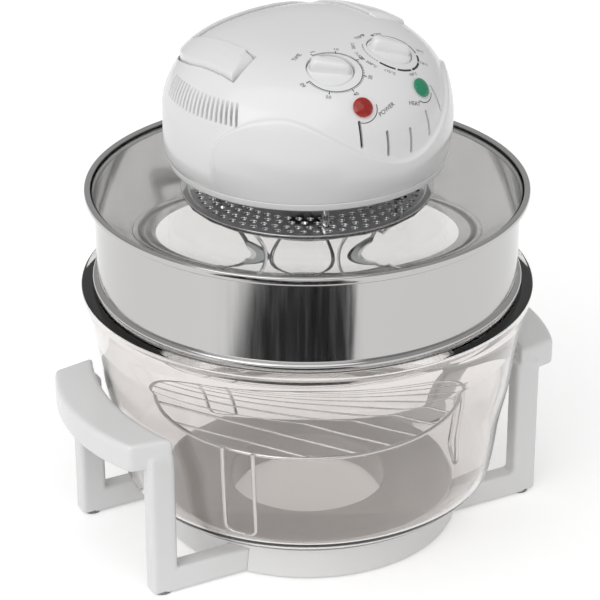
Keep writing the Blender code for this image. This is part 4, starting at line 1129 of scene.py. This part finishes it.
def headShape(name, inset, drop, step, extend, columnCount=0):
    shape = bmesh.new()
    count = columnCount or headForm["columns"]
    columns = []
    bottom = level["coverBottom"] - extend
    for index in range(count):
        angle = math.tau * index / count - math.pi
        column = headColumn(angle, inset, drop, step)
        if extend:
            column.insert(0, (column[0][0], bottom))
        columns.append(
            [
                shape.verts.new((reach * math.sin(angle), -reach * math.cos(angle), height))
                for reach, height in column
            ]
        )
    crown = shape.verts.new((0, 0, crownHeight(0, 0, inset, drop)))
    foot = shape.verts.new((0, 0, bottom))
    for index, column in enumerate(columns):
        following = columns[(index + 1) % count]
        shape.faces.new((foot, following[0], column[0]))
        shape.faces.new((column[-1], following[-1], crown))
        for low in range(len(column) - 1):
            shape.faces.new((column[low], following[low], following[low + 1], column[low + 1]))
    bmesh.ops.recalc_face_normals(shape, faces=shape.faces)
    return objectFrom(name, shape)


# Safety handle

handleForm = {
    "outline": (
        (0.0840, -0.002), (0.0840, 0.0230), (0.0815, 0.0380), (0.0740, 0.0550), (0.0600, 0.0700),
        (0.0400, 0.0800), (0.0180, 0.0838), (0.0, 0.0842),
    ),
    "innerX": 0.0590, "innerY": 0.0620, "innerCorner": 0.006, "gap": 0.0012, "pocketWall": 0.0024,
    "sideDepth": 0.007, "topDepth": 0.008, "floor": 0.0642, "pivotY": -0.002, "pivotHeight": 0.0772,
    "endRadius": 0.0132, "swingRoom": 0.0013, "proud": 0.0022, "pinRadius": 0.0016,
    "pinInner": 0.0563, "pinOuter": 0.0850, "past": 0.010, "borePast": 0.004, "cheek": 0.0006,
    "grain": 0.0008, "easing": 8,
}


def handlePrism(name, grow, floor, reachFront):
    form = handleForm
    half = [
        (x + grow, y + (grow if index else -reachFront))
        for index, (x, y) in enumerate(form["outline"])
    ]
    half = curveThrough(half, 6)
    inner = roundedProfile(
        [
            (-form["innerX"] + grow, form["pivotY"] - reachFront),
            (-form["innerX"] + grow, form["innerY"] - grow),
            (form["innerX"] - grow, form["innerY"] - grow),
            (form["innerX"] - grow, form["pivotY"] - reachFront),
        ],
        [0, form["innerCorner"], form["innerCorner"], 0], 6, False,
    )
    outline = half + [(-x, y) for x, y in reversed(half[:-1])] + [tuple(point) for point in inner]
    top = level["coverBottom"] + headForm["shoulder"] + headForm["rise"] + form["past"]
    prism = addObject(name, prismMesh(name, outline, floor, top))
    faceOutward(prism.data)
    return prism


def handleSpace(name, grow, floor, skirt):
    # The U of the handle less a deeper copy of the head, with round ends at the hinge.
    form = handleForm
    space = handlePrism(name, grow, floor, grow)
    under = headShape(
        name + "Under", form["sideDepth"] + skirt, form["topDepth"] + skirt, 0.0,
        headForm["extend"], headForm["cutColumns"],
    )
    space = carve(space, under)
    inner = form["innerX"] - grow + slip
    outer = form["outline"][0][0] + grow - slip
    ends = [
        hingeRod(f"{name}End{side}", side, form["endRadius"] + grow, inner, outer, 64)
        for side in (1, -1)
    ]
    return unite(space, *ends)


def hingeRod(name, side, radius, inner, outer, sides=32):
    # A rod on the hinge axis, at one side of the head.
    form = handleForm
    pivot = level["coverBottom"] + form["pivotHeight"]
    matrix = (
        Matrix.Translation((side * (outer + inner) / 2, form["pivotY"], pivot))
        @ Matrix.Rotation(math.pi / 2, 4, "Y")
    )
    half = (outer - inner) / 2
    return rodAt(name, radius, -half, half, matrix, sides)


def makeHandle():
    form = handleForm
    floor = level["coverBottom"] + form["floor"]
    handle = handleSpace("safetyHandle", 0.0, floor, 0.0)
    skin = headShape(
        "handleSkin", -form["proud"], -form["proud"], 0.0, headForm["extend"], headForm["skinColumns"]
    )
    booleanWith(handle, skin, "INTERSECT")
    handle = plainMesh(handle)
    discard(skin)
    handle = soften(handle, form["grain"], form["easing"])
    inner = form["pinInner"] - form["borePast"]
    outer = form["pinOuter"] + form["borePast"]
    bores = [
        hingeRod(f"handleBore{side}", side, form["pinRadius"] + slip, inner, outer)
        for side in (1, -1)
    ]
    handle = carve(handle, *bores)
    handle.data.transform(headMatrix)
    smoothShade(handle, 45)
    settle(handle, "handle", "white_plastic", "safety_handle")


makeHandle()
print("handle made")


# Panel frames

panelForm = {
    "knobX": 0.0287, "knobY": -0.0570, "knobRadius": 0.0168, "discHeight": 0.0030, "wellTop": 0.0125,
    "sink": 0.0050, "wellGap": 0.0006, "wellFloor": 0.0024, "shaftRadius": 0.0028, "boreDepth": 0.0075,
    "controlDrop": 0.0125, "lensX": 0.0282, "lensY": -0.0900, "lensRadius": 0.0072,
    "lensBody": 0.0058, "lensCrown": 0.0024, "lensEdge": 0.0010, "lensLift": 0.0006, "lensDepth": 0.010,
    "timerTurn": math.radians(-21.5), "thermostatTurn": math.radians(-58),
    "dialX": 0.0282, "dialY": -0.0595, "slopeProbe": 0.0003, "shaftRoom": 0.0006,
    "crownSteps": 9, "crownPower": 2.4,
}


def surfaceHeight(x, y):
    return crownHeight(math.hypot(x, y), math.atan2(x, -y))


def surfaceNormal(x, y):
    probe = panelForm["slopeProbe"]
    slopeX = (surfaceHeight(x + probe, y) - surfaceHeight(x - probe, y)) / (2 * probe)
    slopeY = (surfaceHeight(x, y + probe) - surfaceHeight(x, y - probe)) / (2 * probe)
    return Vector((-slopeX, -slopeY, 1)).normalized()


def panelMatrix(x, y):
    turn = surfaceNormal(x, y).to_track_quat("Z", "Y").to_matrix().to_4x4()
    return Matrix.Translation((x, y, surfaceHeight(x, y))) @ turn


def dialMatrix(x, y):
    # Its X axis runs along the head's X axis, over the surface.
    normal = surfaceNormal(x, y)
    along = Vector((1, 0, -normal.x / normal.z)).normalized()
    across = normal.cross(along)
    turn = Matrix((along, across, normal)).transposed().to_4x4()
    return Matrix.Translation((x, y, surfaceHeight(x, y))) @ turn


# Head cover

coverForm = {
    "ventCount": 5, "ventPitch": math.radians(11.3), "ventTurn": math.radians(2.5), "ventWidth": 0.0022,
    "ventLift": 0.0035, "ventHeight": 0.0185, "ventReach": 0.024, "louvreCount": 19,
    "louvreStart": math.radians(71), "louvrePitch": math.radians(2.27), "louvreWidth": 0.0019,
    "louvreFoot": 0.0530, "louvreHeight": 0.0185, "louvreRake": math.radians(14),
    "louvreReach": 0.024, "louvreTaper": 0.25, "louvreRounding": 0.0006, "ventRounding": 0.0008,
    "switchX": -0.070, "switchY": 0.030, "plungerRadius": 0.0018, "plungerFoot": 0.060,
    "plungerTop": 0.420, "inletY": 0.1048, "inletHeight": 0.0120, "inletRadius": 0.0055,
    "inletHalf": 0.05,
}


def makeVents():
    form = coverForm
    slots = []
    for index in range(form["ventCount"]):
        angle = form["ventTurn"] + form["ventPitch"] * (index - (form["ventCount"] - 1) / 2)
        middle = ledgeHeight(angle) + form["ventLift"] + form["ventHeight"] / 2
        matrix = Matrix.Rotation(angle, 4, "Z") @ Matrix.Translation((0, -planRadius(angle), middle))
        size = (form["ventWidth"], form["ventReach"], form["ventHeight"])
        slots.append(boxAt(f"ventSlot{index}", size, matrix, form["ventRounding"], 3))
    return joinMeshes("ventSlots", slots)


def makeLouvres():
    form = coverForm
    slots = []
    for side in (1, -1):
        for index in range(form["louvreCount"]):
            angle = side * (form["louvreStart"] + form["louvrePitch"] * index)
            share = index / (form["louvreCount"] - 1)
            height = form["louvreHeight"] * (1 - form["louvreTaper"] * share)
            middle = level["coverBottom"] + form["louvreFoot"] + form["louvreHeight"] / 2
            reach = planRadius(angle)
            matrix = (
                Matrix.Rotation(angle, 4, "Z") @ Matrix.Translation((0, -reach, middle))
                @ Matrix.Rotation(side * form["louvreRake"], 4, "Y")
            )
            size = (form["louvreWidth"], form["louvreReach"], height)
            slots.append(boxAt(f"louvreSlot{side}{index}", size, matrix, form["louvreRounding"], 2))
    return joinMeshes("louvreSlots", slots)


def coverCutters():
    # Everything that opens the cover from outside, in the order in which it is cut.
    form = handleForm
    panel = panelForm
    gap = form["gap"]
    floor = level["coverBottom"] + form["floor"]
    cuts = [handleSpace("handlePocket", gap, floor - gap, gap), makeVents(), makeLouvres()]
    inner = form["innerX"] - gap + form["cheek"]
    outer = form["outline"][0][0] + gap - form["cheek"]
    for side in (1, -1):
        room = form["endRadius"] + gap + form["swingRoom"]
        cuts.append(hingeRod(f"swingRoom{side}", side, room, inner, outer))
    well = panel["knobRadius"] + panel["wellGap"]
    shaft = panel["shaftRadius"] + panel["shaftRoom"]
    drop = panel["controlDrop"]
    lensBody = panel["lensBody"] + slip
    depth = panel["lensDepth"]
    for side in (1, -1):
        matrix = panelMatrix(side * panel["knobX"], panel["knobY"])
        pinSpan = (form["pinInner"] - slip, form["pinOuter"] + slip)
        cuts.append(hingeRod(f"coverPin{side}", side, form["pinRadius"] + slip, *pinSpan))
        cuts.append(rodAt(f"knobWell{side}", well, -panel["sink"], panel["wellTop"], matrix, 96))
        cuts.append(rodAt(f"shaftHole{side}", shaft, -drop, drop, matrix))
        lens = panelMatrix(side * panel["lensX"], panel["lensY"])
        cuts.append(rodAt(f"lensHole{side}", lensBody, -depth, depth, lens))
    spot = Matrix.Translation((coverForm["switchX"], coverForm["switchY"], 0))
    foot = level["coverBottom"] + coverForm["plungerFoot"]
    plunger = coverForm["plungerRadius"] + slip
    cuts.append(rodAt("plungerHole", plunger, foot, coverForm["plungerTop"], spot))
    inlet = (
        Matrix.Translation((0, coverForm["inletY"], level["coverBottom"] + coverForm["inletHeight"]))
        @ Matrix.Rotation(math.pi / 2, 4, "X")
    )
    half = coverForm["inletHalf"]
    cuts.append(rodAt("inletHole", coverForm["inletRadius"] + slip, -half, half, inlet))
    return cuts


def makeCover():
    form = handleForm
    panel = panelForm
    cover = headShape("headCover", 0.0, 0.0, headForm["step"], 0.0)
    wall = headForm["wall"]
    hollow = headShape("coverHollow", wall, wall, 0.0, headForm["extend"], headForm["cutColumns"])
    floor = level["coverBottom"] + form["floor"]
    both = form["gap"] + form["pocketWall"]
    solids = [handleSpace("pocketWall", both, floor - both, both)]
    radius = panel["knobRadius"] + panel["wellGap"] + panel["wellFloor"]
    foot = -panel["sink"] - panel["wellFloor"]
    for side in (1, -1):
        matrix = panelMatrix(side * panel["knobX"], panel["knobY"])
        solids.append(rodAt(f"wellWall{side}", radius, foot, panel["wellTop"], matrix, 64))
    hollow = carve(hollow, *solids)
    cover = carve(cover, hollow)
    cover = carve(cover, *coverCutters())
    cover.data.transform(headMatrix)
    smoothShade(cover, 32)
    settle(cover, "lid", "white_plastic", "head_cover")


makeCover()
print("cover made")


# Head base

baseForm = {
    "topRadius": 0.1045, "bottomRadius": 0.103, "height": 0.0060, "wall": 0.0035, "plate": 0.003,
    "hole": 0.014, "bossCircle": 0.0970, "screwRadius": 0.0018, "screwHeadRadius": 0.0036,
    "screwHeadHeight": 0.0018, "bossAngles": (45, -45, 112, -112), "drillPast": 0.003,
    "radii": (0.0008, 0.0022, 0.0006, 0.0006, 0.001, 0.0006),
}


def makeHeadBase():
    form = baseForm
    bottom = level["flangeBottom"]
    top = bottom + form["height"]
    profile = roundedProfile(
        [
            (form["topRadius"], top), (form["bottomRadius"], bottom), (form["hole"], bottom),
            (form["hole"], bottom + form["plate"]),
            (form["bottomRadius"] - form["wall"], bottom + form["plate"]),
            (form["topRadius"] - form["wall"], top),
        ],
        form["radii"],
    )
    base = turnProfile("headBase", profile, "white_plastic")
    drills = []
    for index, degrees in enumerate(form["bossAngles"]):
        angle = math.radians(degrees)
        spot = (form["bossCircle"] * math.sin(angle), -form["bossCircle"] * math.cos(angle), 0)
        matrix = headMatrix @ Matrix.Translation(spot)
        shank = form["screwRadius"] + slip
        seat = form["screwHeadRadius"] + slip
        low = bottom - form["drillPast"]
        high = top + form["drillPast"]
        drills.append(rodAt(f"baseHole{index}", shank, low, high, matrix))
        drills.append(
            rodAt(f"baseSeat{index}", seat, low, bottom + form["screwHeadHeight"] + slip, matrix)
        )
    base = smoothShade(carve(base, *drills))
    settle(base, "lid", "white_plastic", "head_base")


makeHeadBase()
print("head base made")


# Knobs

knobForm = {
    "edge": 0.0012, "gripHalfLeft": 0.0062, "gripHalfRight": 0.0036, "gripTopLeft": 0.0124,
    "gripTopRight": 0.0098, "gripReach": 0.0150, "grain": 0.00045, "easing": 7,
    "endPower": 7, "sidePower": 0.62, "topPower": 0.55, "endWidth": 0.25, "endHeight": 0.45,
    "ridgeFoot": 0.0005, "domeShare": 0.55, "domeHeight": 0.0006, "domeDrop": 0.0004,
    "domeRounding": 0.002, "footEdge": 0.0003, "boreStart": -0.004,
}


def ridgeMesh(name):
    # The bar to hold: wide and high at one end, narrow and lower at the other.
    form = knobForm
    rings = []
    steps = 26
    around = 24
    for step in range(steps + 1):
        share = step / steps
        x = form["gripReach"] * (2 * share - 1)
        end = max(1 - abs(2 * share - 1) ** form["endPower"], 0.0) ** 0.5
        half = form["gripHalfLeft"] * (1 - share) + form["gripHalfRight"] * share
        half *= form["endWidth"] + (1 - form["endWidth"]) * end
        top = form["gripTopLeft"] * (1 - share) + form["gripTopRight"] * share
        top *= form["endHeight"] + (1 - form["endHeight"]) * end
        ring = []
        for index in range(around + 1):
            turn = math.pi * index / around
            across = half * math.copysign(abs(math.cos(turn)) ** form["sidePower"], math.cos(turn))
            rise = top * math.sin(turn) ** form["topPower"]
            ring.append((x, across, form["ridgeFoot"] + rise))
        rings.append(ring)
    points = [point for ring in rings for point in ring]
    width = around + 1
    faces = []
    for row in range(steps):
        for column in range(around):
            first = row * width + column
            faces.append((first, first + 1, first + width + 1, first + width))
        low = row * width
        faces.append((low + around, low, low + width, low + width + around))
    faces.append(tuple(range(width)))
    faces.append(tuple(range(steps * width + width - 1, steps * width - 1, -1)))
    ridge = addObject(name, meshFrom(name, points, faces))
    faceOutward(ridge.data)
    return ridge


def makeKnob(name, node, body, side, turn):
    form = knobForm
    panel = panelForm
    radius = panel["knobRadius"]
    disc = panel["discHeight"]
    drop = form["domeDrop"]
    profile = roundedProfile(
        [
            (0, disc + form["domeHeight"]), (radius * form["domeShare"], disc + drop),
            (radius, disc - drop), (radius, 0), (0, 0),
        ],
        [0, form["domeRounding"], form["edge"], form["footEdge"], 0], 4, False,
    )
    knob = turnProfile(name, profile, "white_plastic", 96, False)
    knob = soften(unite(knob, ridgeMesh(name + "Ridge")), form["grain"], form["easing"])
    bore = rodAt(name + "Bore", panel["shaftRadius"] + slip, form["boreStart"], panel["boreDepth"])
    knob = carve(knob, bore)
    matrix = (
        headMatrix @ panelMatrix(side * panel["knobX"], panel["knobY"])
        @ Matrix.Translation((0, 0, slip - panel["sink"])) @ Matrix.Rotation(turn, 4, "Z")
    )
    knob.data.transform(matrix)
    smoothShade(knob, 50)
    settle(knob, body, "white_plastic", node)


makeKnob("timerKnob", "timer_knob", "timer", -1, panelForm["timerTurn"])
makeKnob("thermostatKnob", "thermostat_knob", "thermostat", 1, panelForm["thermostatTurn"])
print("knobs made")


# Lamp lenses

def makeLens(name, node, look, side):
    panel = panelForm
    radius = panel["lensRadius"]
    top = panel["lensLift"] + panel["lensEdge"]
    crown = panel["lensCrown"]
    profile = [(0, top + crown)]
    for step in range(1, panel["crownSteps"]):
        share = step / panel["crownSteps"]
        profile.append((radius * share, top + crown * (1 - share ** panel["crownPower"])))
    profile += [
        (radius, top), (radius, panel["lensLift"]), (panel["lensBody"], panel["lensLift"]),
        (panel["lensBody"], -panel["lensDepth"]), (0, -panel["lensDepth"]),
    ]
    lens = turnProfile(name, profile, look, 64, False)
    lens.data.transform(headMatrix @ panelMatrix(side * panel["lensX"], panel["lensY"]))
    settle(lens, "lid", look, node)


makeLens("powerLampLens", "power_lamp_lens", "red_lens", -1)
makeLens("heatLampLens", "heat_lamp_lens", "green_lens", 1)
print("lenses made")


# Printed marks: laid out flat round each dial or lamp, then dropped on to the crown

printForm = {"lift": 0.00006, "tickWidth": 0.0006, "textSize": 0.0044, "stripStep": 3}


def dropOnCrown(mesh, matrix):
    for vertex in mesh.vertices:
        spot = matrix @ Vector((vertex.co.x, vertex.co.y, 0))
        for _ in range(5):
            normal = surfaceNormal(spot.x, spot.y)
            spot += normal * ((surfaceHeight(spot.x, spot.y) - spot.z) * normal.z)
        vertex.co = headMatrix @ (spot + surfaceNormal(spot.x, spot.y) * printForm["lift"])


def stripMesh(name, radius, width, start, end, endWidth=None):
    # A curved strip; angles in degrees clockwise from the rear.
    steps = max(int(abs(end - start) / printForm["stripStep"]), 2)
    last = width if endWidth is None else endWidth
    points = []
    for step in range(steps + 1):
        share = step / steps
        turn = math.radians(start + (end - start) * share)
        half = (width * (1 - share) + last * share) / 2
        for reach in (radius - half, radius + half):
            points.append((reach * math.sin(turn), reach * math.cos(turn), 0))
    faces = [(2 * i, 2 * i + 2, 2 * i + 3, 2 * i + 1) for i in range(steps)]
    return addObject(name, meshFrom(name, points, faces))


def tickRing(name, count, start, step, inner, outer, width):
    half = width / 2
    points = []
    for share in (0.0, 0.5, 1.0):
        reach = inner + (outer - inner) * share
        points += [(-half, reach, 0), (half, reach, 0)]
    tick = addObject(name, meshFrom(name, points, [(0, 1, 3, 2), (2, 3, 5, 4)]))
    values = {
        "Count": count, "First Angle": -math.radians(start), "Step Angle": -math.radians(step),
        "Material": looks["panelPrint"],
    }
    return growWith(tick, trees["copies"], values)


def wordMesh(name, text, angle, radius, size, tilt=None):
    curve = bpy.data.curves.new(name, "FONT")
    curve.body = text
    curve.size = size
    curve.align_x = "CENTER"
    curve.align_y = "CENTER"
    curve.resolution_u = 3
    obj = addObject(name, curve)
    turn = math.radians(angle)
    spin = -angle if tilt is None else tilt
    if tilt is None and 100 < angle % 360 < 260:
        spin += 180
    obj.matrix_world = (
        Matrix.Translation((radius * math.sin(turn), radius * math.cos(turn), 0))
        @ Matrix.Rotation(math.radians(spin), 4, "Z")
    )
    return plainMesh(obj)


def finishPrint(name, marks, matrix):
    made = joinMeshes(name, marks)
    dropOnCrown(made.data, matrix)
    shape = bmesh.new()
    shape.from_mesh(made.data)
    for face in shape.faces:
        face.normal_update()
        if face.normal.z < 0:
            face.normal_flip()
    shape.to_mesh(made.data)
    shape.free()
    settle(made, "lid", "panelPrint")


# Angles of the timer's marks in degrees clockwise from the rear, radii in metres
timerMarks = {
    "start": 1.0, "minuteStep": 4.54, "minutes": 61, "tenStep": 45.4, "tens": 7, "inner": 0.0208,
    "minuteOuter": 0.0226, "tenOuter": 0.0242, "tenBolder": 1.4, "line": 0.0211, "lineWidth": 0.0004,
    "lineEnd": 273.4, "offRadius": 0.0262, "offWidth": 0.0007, "offStart": 4, "offEnd": 12,
    "labelRadius": 0.0272, "wordRadius": 0.0292, "wordAngle": -20, "wordTilt": 20, "wordScale": 1.1,
}


def makeTimerPrint():
    marks = timerMarks
    size = printForm["textSize"]
    width = printForm["tickWidth"]
    start = marks["start"]
    inner = marks["inner"]
    made = [
        tickRing(
            "timerTicks", marks["minutes"], start, marks["minuteStep"], inner, marks["minuteOuter"], width
        ),
        tickRing(
            "timerTens", marks["tens"], start, marks["tenStep"], inner, marks["tenOuter"],
            width * marks["tenBolder"],
        ),
        stripMesh("timerLine", marks["line"], marks["lineWidth"], start, marks["lineEnd"]),
        stripMesh(
            "timerOffStroke", marks["offRadius"], marks["offWidth"], marks["offStart"], marks["offEnd"]
        ),
    ]
    for index in range(1, marks["tens"]):
        angle = start + marks["tenStep"] * index
        made.append(wordMesh(f"timerLabel{index}", str(10 * index), angle, marks["labelRadius"], size))
    made.append(
        wordMesh(
            "timerWord", "TIME", marks["wordAngle"], marks["wordRadius"], size * marks["wordScale"],
            marks["wordTilt"],
        )
    )
    finishPrint("timerPrint", made, dialMatrix(-panelForm["dialX"], panelForm["dialY"]))


# Marks of the thermostat: bands as (start, end), labels as (degrees Celsius, angle, radius)
thermostatMarks = {
    "radius": 0.0220, "sweep": (5, 101), "sweepStart": 0.0003, "sweepEnd": 0.0011,
    "bands": ((108, 129), (133, 169), (173, 207), (211, 244)), "bandWidth": 0.0019,
    "offRadius": 0.0236, "offWidth": 0.0022, "offEnd": 5,
    "offWord": (15, 0.0245), "offScale": 0.9, "offTilt": -12,
    "word": (-20, 0.0272), "wordScale": 1.1, "wordTilt": 14,
    "dots": 11, "dotStart": 250, "dotStep": 6.1, "dotInner": 0.0214, "dotOuter": 0.0223,
    "dotWidth": 0.0009,
    "labels": (
        (65, 93, 0.0300), (125, 125, 0.0282), (150, 175, 0.0264), (175, 221, 0.0276),
        (200, 251, 0.0288), (225, 276, 0.0292), (250, 304, 0.0288),
    ),
    "labelScale": 0.85, "sideTilt": -20, "tiltFrom": 60, "tiltTo": 130,
}


def makeThermostatPrint():
    marks = thermostatMarks
    size = printForm["textSize"]
    radius = marks["radius"]
    made = [
        stripMesh("heatSweep", radius, marks["sweepStart"], *marks["sweep"], marks["sweepEnd"]),
        stripMesh("heatOffDash", marks["offRadius"], marks["offWidth"], 0, marks["offEnd"]),
        wordMesh("heatOffWord", "OFF", *marks["offWord"], size * marks["offScale"], marks["offTilt"]),
        wordMesh("heatWord", "TEMP", *marks["word"], size * marks["wordScale"], marks["wordTilt"]),
        tickRing(
            "heatDots", marks["dots"], marks["dotStart"], marks["dotStep"], marks["dotInner"],
            marks["dotOuter"], marks["dotWidth"],
        ),
    ]
    for index, (start, end) in enumerate(marks["bands"]):
        made.append(stripMesh(f"heatBand{index}", radius, marks["bandWidth"], start, end))
    for value, angle, reach in marks["labels"]:
        tilt = marks["sideTilt"] if marks["tiltFrom"] < angle < marks["tiltTo"] else None
        scale = size * marks["labelScale"]
        made.append(wordMesh(f"heatLabel{value}", f"{value}°C", angle, reach, scale, tilt))
    finishPrint("thermostatPrint", made, dialMatrix(panelForm["dialX"], panelForm["dialY"]))


# Marks of the two lamps: the arc's angles, and where the middle of the word is beside the lamp
lampMarks = {
    "arcRadius": 0.0112, "arcWidth": 0.0006, "wordScale": 1.05,
    "power": {"side": -1, "arc": (112, 226), "text": "POWER", "place": (0.0150, -0.0118)},
    "heat": {"side": 1, "arc": (102, 205), "text": "HEAT", "place": (-0.0100, -0.0130)},
}


def makeLampPrint(lamp):
    marks = lampMarks[lamp]
    name = lamp + "Print"
    matrix = dialMatrix(marks["side"] * panelForm["lensX"], panelForm["lensY"])
    arc = stripMesh(name + "Arc", lampMarks["arcRadius"], lampMarks["arcWidth"], *marks["arc"])
    x, y = marks["place"]
    size = printForm["textSize"] * lampMarks["wordScale"]
    angle = math.degrees(math.atan2(x, y))
    word = wordMesh(name + "Word", marks["text"], angle, math.hypot(x, y), size, 0)
    finishPrint(name, [arc, word], matrix)


makeTimerPrint()
makeThermostatPrint()
makeLampPrint("power")
makeLampPrint("heat")
print("prints made")


# Floor, card, lamps, world and camera

stageForm = {
    "floorSize": 9.0, "floorColour": (0.93, 0.93, 0.93), "floorGlow": 0.34,
    "keyStrength": 1.05, "keySpread": math.radians(70), "keyFrom": (-0.55, -0.45, 1.0),
    "fillSize": 1.2, "fillPower": 5.0, "fillSpot": (-1.5, -0.7, 1.3),
    "worldStrength": 0.47,
    "cardSize": (0.76, 0.34), "cardSpot": (-0.461, -0.546, 0.004), "cardTurn": math.radians(-28),
    "cameraReach": 1.7059, "cameraHeight": 1.0278, "cameraTurn": math.radians(-28),
    "cameraPitch": math.radians(26.51), "lens": 150.0, "shift": -0.012, "sensor": 36,
    "cardColour": (0.02, 0.02, 0.022), "cardRoughness": 0.8, "paperRoughness": 0.9,
    "paperShade": 0.99, "paperMottle": 4.0, "aimHeight": 0.25,
}


def stageMaterial(name, colour, rough):
    material, tree, shader, place = startMaterial(name)
    dark = [channel * stageForm["paperShade"] for channel in colour]
    tone = colourRange(tree, place, stageForm["paperMottle"], colour, dark)
    linkNodes(tree, tone, shader.inputs["Base Color"])
    shader.inputs["Roughness"].default_value = rough
    shader.inputs["Specular IOR Level"].default_value = 0.0
    return material


def brightenBackdrop(material, glow):
    # The paper looks as white as the backdrop of a catalogue picture, with no more light on the oven.
    tree = material.node_tree
    path = addNode(tree, "ShaderNodeLightPath")
    seen = mathNode(tree, "MAXIMUM", path.outputs["Is Camera Ray"], path.outputs["Is Glossy Ray"])
    seen = mathNode(tree, "MAXIMUM", seen, path.outputs["Is Transmission Ray"])
    shine = addNode(tree, "ShaderNodeEmission", inputs={"Strength": mathNode(tree, "MULTIPLY", seen, glow)})
    both = addNode(tree, "ShaderNodeAddShader")
    linkNodes(tree, tree.nodes["Principled BSDF"].outputs["BSDF"], both.inputs[0])
    linkNodes(tree, shine.outputs["Emission"], both.inputs[1])
    linkNodes(tree, both.outputs["Shader"], tree.nodes["Material Output"].inputs["Surface"])


def flatSheet(name, wide, deep, material):
    x = wide / 2
    y = deep / 2
    sheet = addObject(name, meshFrom(name, [(-x, -y, 0), (x, -y, 0), (x, y, 0), (-x, y, 0)], [(0, 1, 2, 3)]))
    sheet.data.materials.append(material)
    return sheet


def makeSheets():
    form = stageForm
    paper = stageMaterial("floorPaper", form["floorColour"], form["paperRoughness"])
    brightenBackdrop(paper, form["floorGlow"])
    floor = flatSheet("floor", form["floorSize"], form["floorSize"], paper)
    black = stageMaterial("cardBlack", form["cardColour"], form["cardRoughness"])
    card = flatSheet("darkCard", *form["cardSize"], black)
    card.matrix_world = Matrix.Translation(form["cardSpot"]) @ Matrix.Rotation(form["cardTurn"], 4, "Z")


def makeLight():
    form = stageForm
    sun = bpy.data.lights.new("key", "SUN")
    sun.energy = form["keyStrength"]
    sun.angle = form["keySpread"]
    key = bpy.data.objects.new("key", sun)
    key.matrix_world = Vector(form["keyFrom"]).to_track_quat("Z", "Y").to_matrix().to_4x4()
    soft = bpy.data.lights.new("fill", "AREA")
    soft.size = form["fillSize"]
    soft.energy = form["fillPower"]
    fill = bpy.data.objects.new("fill", soft)
    spot = Vector(form["fillSpot"])
    aim = (Vector((0, 0, form["aimHeight"])) - spot).to_track_quat("-Z", "Y").to_matrix().to_4x4()
    fill.matrix_world = Matrix.Translation(spot) @ aim
    for lamp in (key, fill):
        bpy.context.scene.collection.objects.link(lamp)
    world = bpy.data.worlds.new("studio")
    world.use_nodes = True
    back = world.node_tree.nodes["Background"]
    back.inputs["Color"].default_value = (1, 1, 1, 1)
    back.inputs["Strength"].default_value = form["worldStrength"]
    bpy.context.scene.world = world


def makeCamera():
    form = stageForm
    view = bpy.data.cameras.new("camera")
    view.lens = form["lens"]
    view.sensor_width = form["sensor"]
    view.shift_x = form["shift"]
    view.dof.use_dof = False
    camera = bpy.data.objects.new("camera", view)
    bpy.context.scene.collection.objects.link(camera)
    turn = form["cameraTurn"]
    reach = form["cameraReach"]
    camera.location = (math.sin(turn) * reach, -math.cos(turn) * reach, form["cameraHeight"])
    camera.rotation_euler = (math.pi / 2 - form["cameraPitch"], 0, turn)
    bpy.context.scene.camera = camera
    bpy.context.scene.view_settings.view_transform = "Standard"


makeSheets()
makeLight()
makeCamera()
print("stage made")
